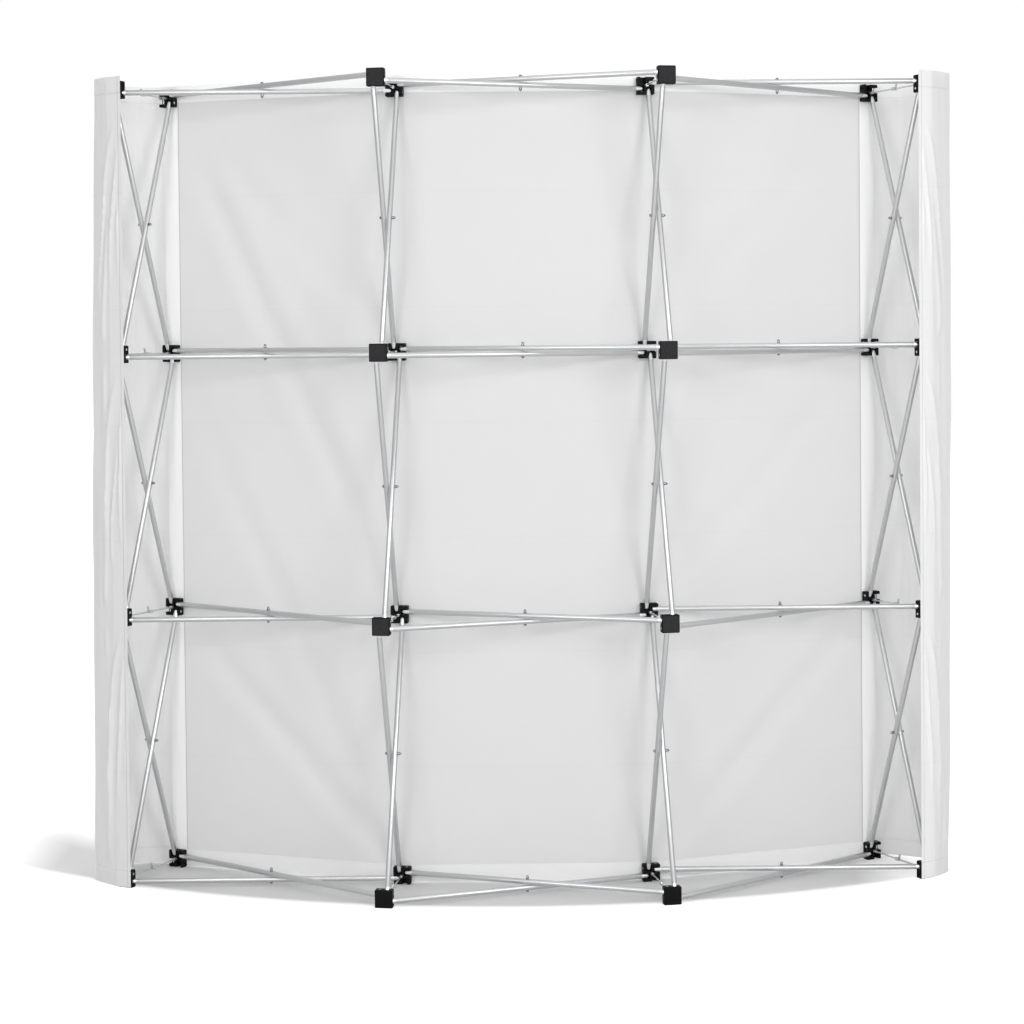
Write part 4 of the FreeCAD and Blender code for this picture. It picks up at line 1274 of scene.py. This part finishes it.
FLOOR_SIZE = 60.0
FLOOR_GREYS = ((0.68, 0.68, 0.68), (0.7, 0.7, 0.7))
FLOOR_HALF_LENGTH = 1.15
FLOOR_SHIFT = 0.22
FLOOR_FADE = 0.4
FLOOR_REAR_INSET = 0.05
FLOOR_REAR_WEIGHT = 6.0
SENSOR_WIDTH = 36.0
SIDE_BALANCE = 0.15
# Softboxes: where each stands, what it is aimed at, and the side of its square
SOFTBOXES = {
    "key": ((3.0, -5.3, 2.8), (0.0, 0.0, 0.2), 2.0),
    "fill": ((-2.4, -5.6, 2.7), (0.0, 0.0, 0.2), 2.0),
    "front": ((0.0, -7.6, 1.2), (0.0, 0.0, 0.2), 1.5),
    "top": ((0.0, -1.2, 5.0), (0.0, 0.0, 0.0), 4.0),
    "show": ((0.0, 6.5, 2.7), (0.0, 0.0, 0.9), 3.0),
    "left": ((-4.0, 2.6, 1.4), (-1.2, 0.1, 1.1), 2.0),
    "right": ((4.0, 2.6, 1.4), (1.2, 0.1, 1.1), 2.0),
}


class WALL_OT_stage(bpy.types.Operator):
    """Set the floor, the lights and the camera"""

    bl_idname = "wall.stage"
    bl_label = "Stage"

    def floor(self, w, glow):
        """Pale floor with a painted glow, seen only by the camera, that whitens it away from the wall;
        close to the wall it keeps its grey and its cast shadows.
        """
        deselect()
        bpy.ops.mesh.primitive_plane_add(size=FLOOR_SIZE, location=(0, 0, 0))
        floor = named("studio_floor")
        finish = Finish("studio_floor")
        place = finish.place()
        x = finish.node("ShaderNodeSeparateXYZ", None, {"Vector": place}, "X")
        y = finish.node("ShaderNodeSeparateXYZ", None, {"Vector": place}, "Y") - w.axis_y
        drum = x.maths("SQRT", x * x + y * y)
        off_end = x.maths("MAXIMUM", x.maths("ABSOLUTE", x + FLOOR_SHIFT) - FLOOR_HALF_LENGTH, 0.0)
        edge = w.frame.rear_radius - FLOOR_REAR_INSET
        behind = x.maths("MAXIMUM", drum - edge, 0.0) * FLOOR_REAR_WEIGHT
        off_line = behind + x.maths("MAXIMUM", w.front_radius - drum, 0.0)
        beyond = x.maths("MAXIMUM", y, 0.0)
        away = x.maths("SQRT", off_end * off_end + off_line * off_line + beyond * beyond)
        # A painted glow that only the camera sees, growing away from the wall and left out close to it.
        seen = finish.node("ShaderNodeLightPath", output="Is Camera Ray")
        light = x.maths("MINIMUM", away / FLOOR_FADE, 1.0) * seen
        cloud = finish.noise(place, 1.5, 2.0)
        floor.data.materials.append(finish.done(
            Base_Color=finish.mix(cloud, *FLOOR_GREYS), Roughness=0.7,
            Emission_Color=finish.mix(light, (0, 0, 0), (1, 1, 1)), Emission_Strength=glow))

    def softbox(self, name, place, aim, size, power):
        deselect()
        turn = (Vector(aim) - Vector(place)).to_track_quat("-Z", "Y").to_euler()
        bpy.ops.object.light_add(type="AREA", location=place, rotation=turn)
        light = bpy.context.object
        light.name = name
        light.data.shape = "SQUARE"
        light.data.size = size
        light.data.energy = power

    def room(self, strength):
        """White behind the wall, and a softer even light on it."""
        world = bpy.data.worlds.new("studio_room")
        world.use_nodes = True
        bpy.context.scene.world = world
        room = Signal(world.node_tree)
        seen = room.node("ShaderNodeLightPath", output="Is Camera Ray")
        white = room.node("ShaderNodeBackground", None, {"Color": (1, 1, 1, 1), "Strength": 1.0})
        even = room.node("ShaderNodeBackground", None, {"Color": (1, 1, 1, 1), "Strength": strength})
        mixed = room.node("ShaderNodeMixShader", None, {0: seen, 1: even, 2: white})
        output = world.node_tree.nodes["World Output"]
        world.node_tree.links.new(mixed.socket, output.inputs["Surface"])

    def camera(self, stage):
        data = bpy.data.cameras.new("photo_view")
        data.lens = stage.lens
        data.sensor_width = SENSOR_WIDTH
        data.shift_y = stage.drop
        camera = bpy.data.objects.new("photo_view", data)
        turn = (Matrix.Rotation(stage.camera_turn, 4, "Z") @ Matrix.Rotation(stage.camera_tilt, 4, "X")
                @ Matrix.Rotation(stage.camera_roll, 4, "Z"))
        camera.matrix_world = Matrix.Translation(stage.camera_place) @ turn
        bpy.context.collection.objects.link(camera)
        bpy.context.scene.camera = camera

    def execute(self, context):
        stage = context.scene.wall_stage
        self.camera(stage)
        self.floor(wall(), stage.floor_glow)
        powers = {
            "key": stage.key_power, "fill": stage.fill_power, "front": stage.front_power,
            "top": stage.top_power, "show": stage.show_power,
            "left": stage.side_power * (1 - SIDE_BALANCE), "right": stage.side_power * (1 + SIDE_BALANCE),
        }
        for name, (place, aim, size) in SOFTBOXES.items():
            self.softbox(f"{name}_softbox", place, aim, size, powers[name])
        self.room(stage.room_light)
        context.scene.view_settings.view_transform = "Standard"
        return {"FINISHED"}


OPERATORS = (WALL_OT_hubs, WALL_OT_tubes, WALL_OT_plugs, WALL_OT_pins, WALL_OT_rivets, WALL_OT_locks,
             WALL_OT_pads, WALL_OT_banner, WALL_OT_stage)
SETTINGS = {"wall_frame": WallFrameSizes, "wall_fittings": WallFittingSizes, "wall_cloth": WallBannerSizes,
            "wall_colours": WallColours, "wall_stage": WallStageSettings}


class WALL_PT_sidebar(bpy.types.Panel):
    """Lists the wall's pieces and its settings"""

    bl_idname = "WALL_PT_sidebar"
    bl_label = "Banner wall"
    bl_space_type = "VIEW_3D"
    bl_region_type = "UI"
    bl_category = "Banner Wall"

    def draw(self, context):
        for operator in OPERATORS:
            self.layout.operator(operator.bl_idname)
        for name, group in SETTINGS.items():
            box = self.layout.box()
            box.label(text=group.__doc__)
            for setting in group.__annotations__:
                box.prop(getattr(context.scene, name), setting)


def register():
    for name, group in SETTINGS.items():
        bpy.utils.register_class(group)
        setattr(bpy.types.Scene, name, PointerProperty(type=group))
    for item in (*OPERATORS, WALL_PT_sidebar):
        bpy.utils.register_class(item)


def unregister():
    for item in (WALL_PT_sidebar, *reversed(OPERATORS)):
        bpy.utils.unregister_class(item)
    for name, group in SETTINGS.items():
        delattr(bpy.types.Scene, name)
        bpy.utils.unregister_class(group)


def main():
    register()
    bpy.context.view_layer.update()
    bpy.ops.wall.stage()
    bpy.ops.wall.hubs()
    bpy.ops.wall.tubes()
    bpy.ops.wall.plugs()
    bpy.ops.wall.pins()
    bpy.ops.wall.rivets()
    bpy.ops.wall.locks()
    bpy.ops.wall.pads()
    bpy.ops.wall.banner()


if __name__ == "__main__":
    main()
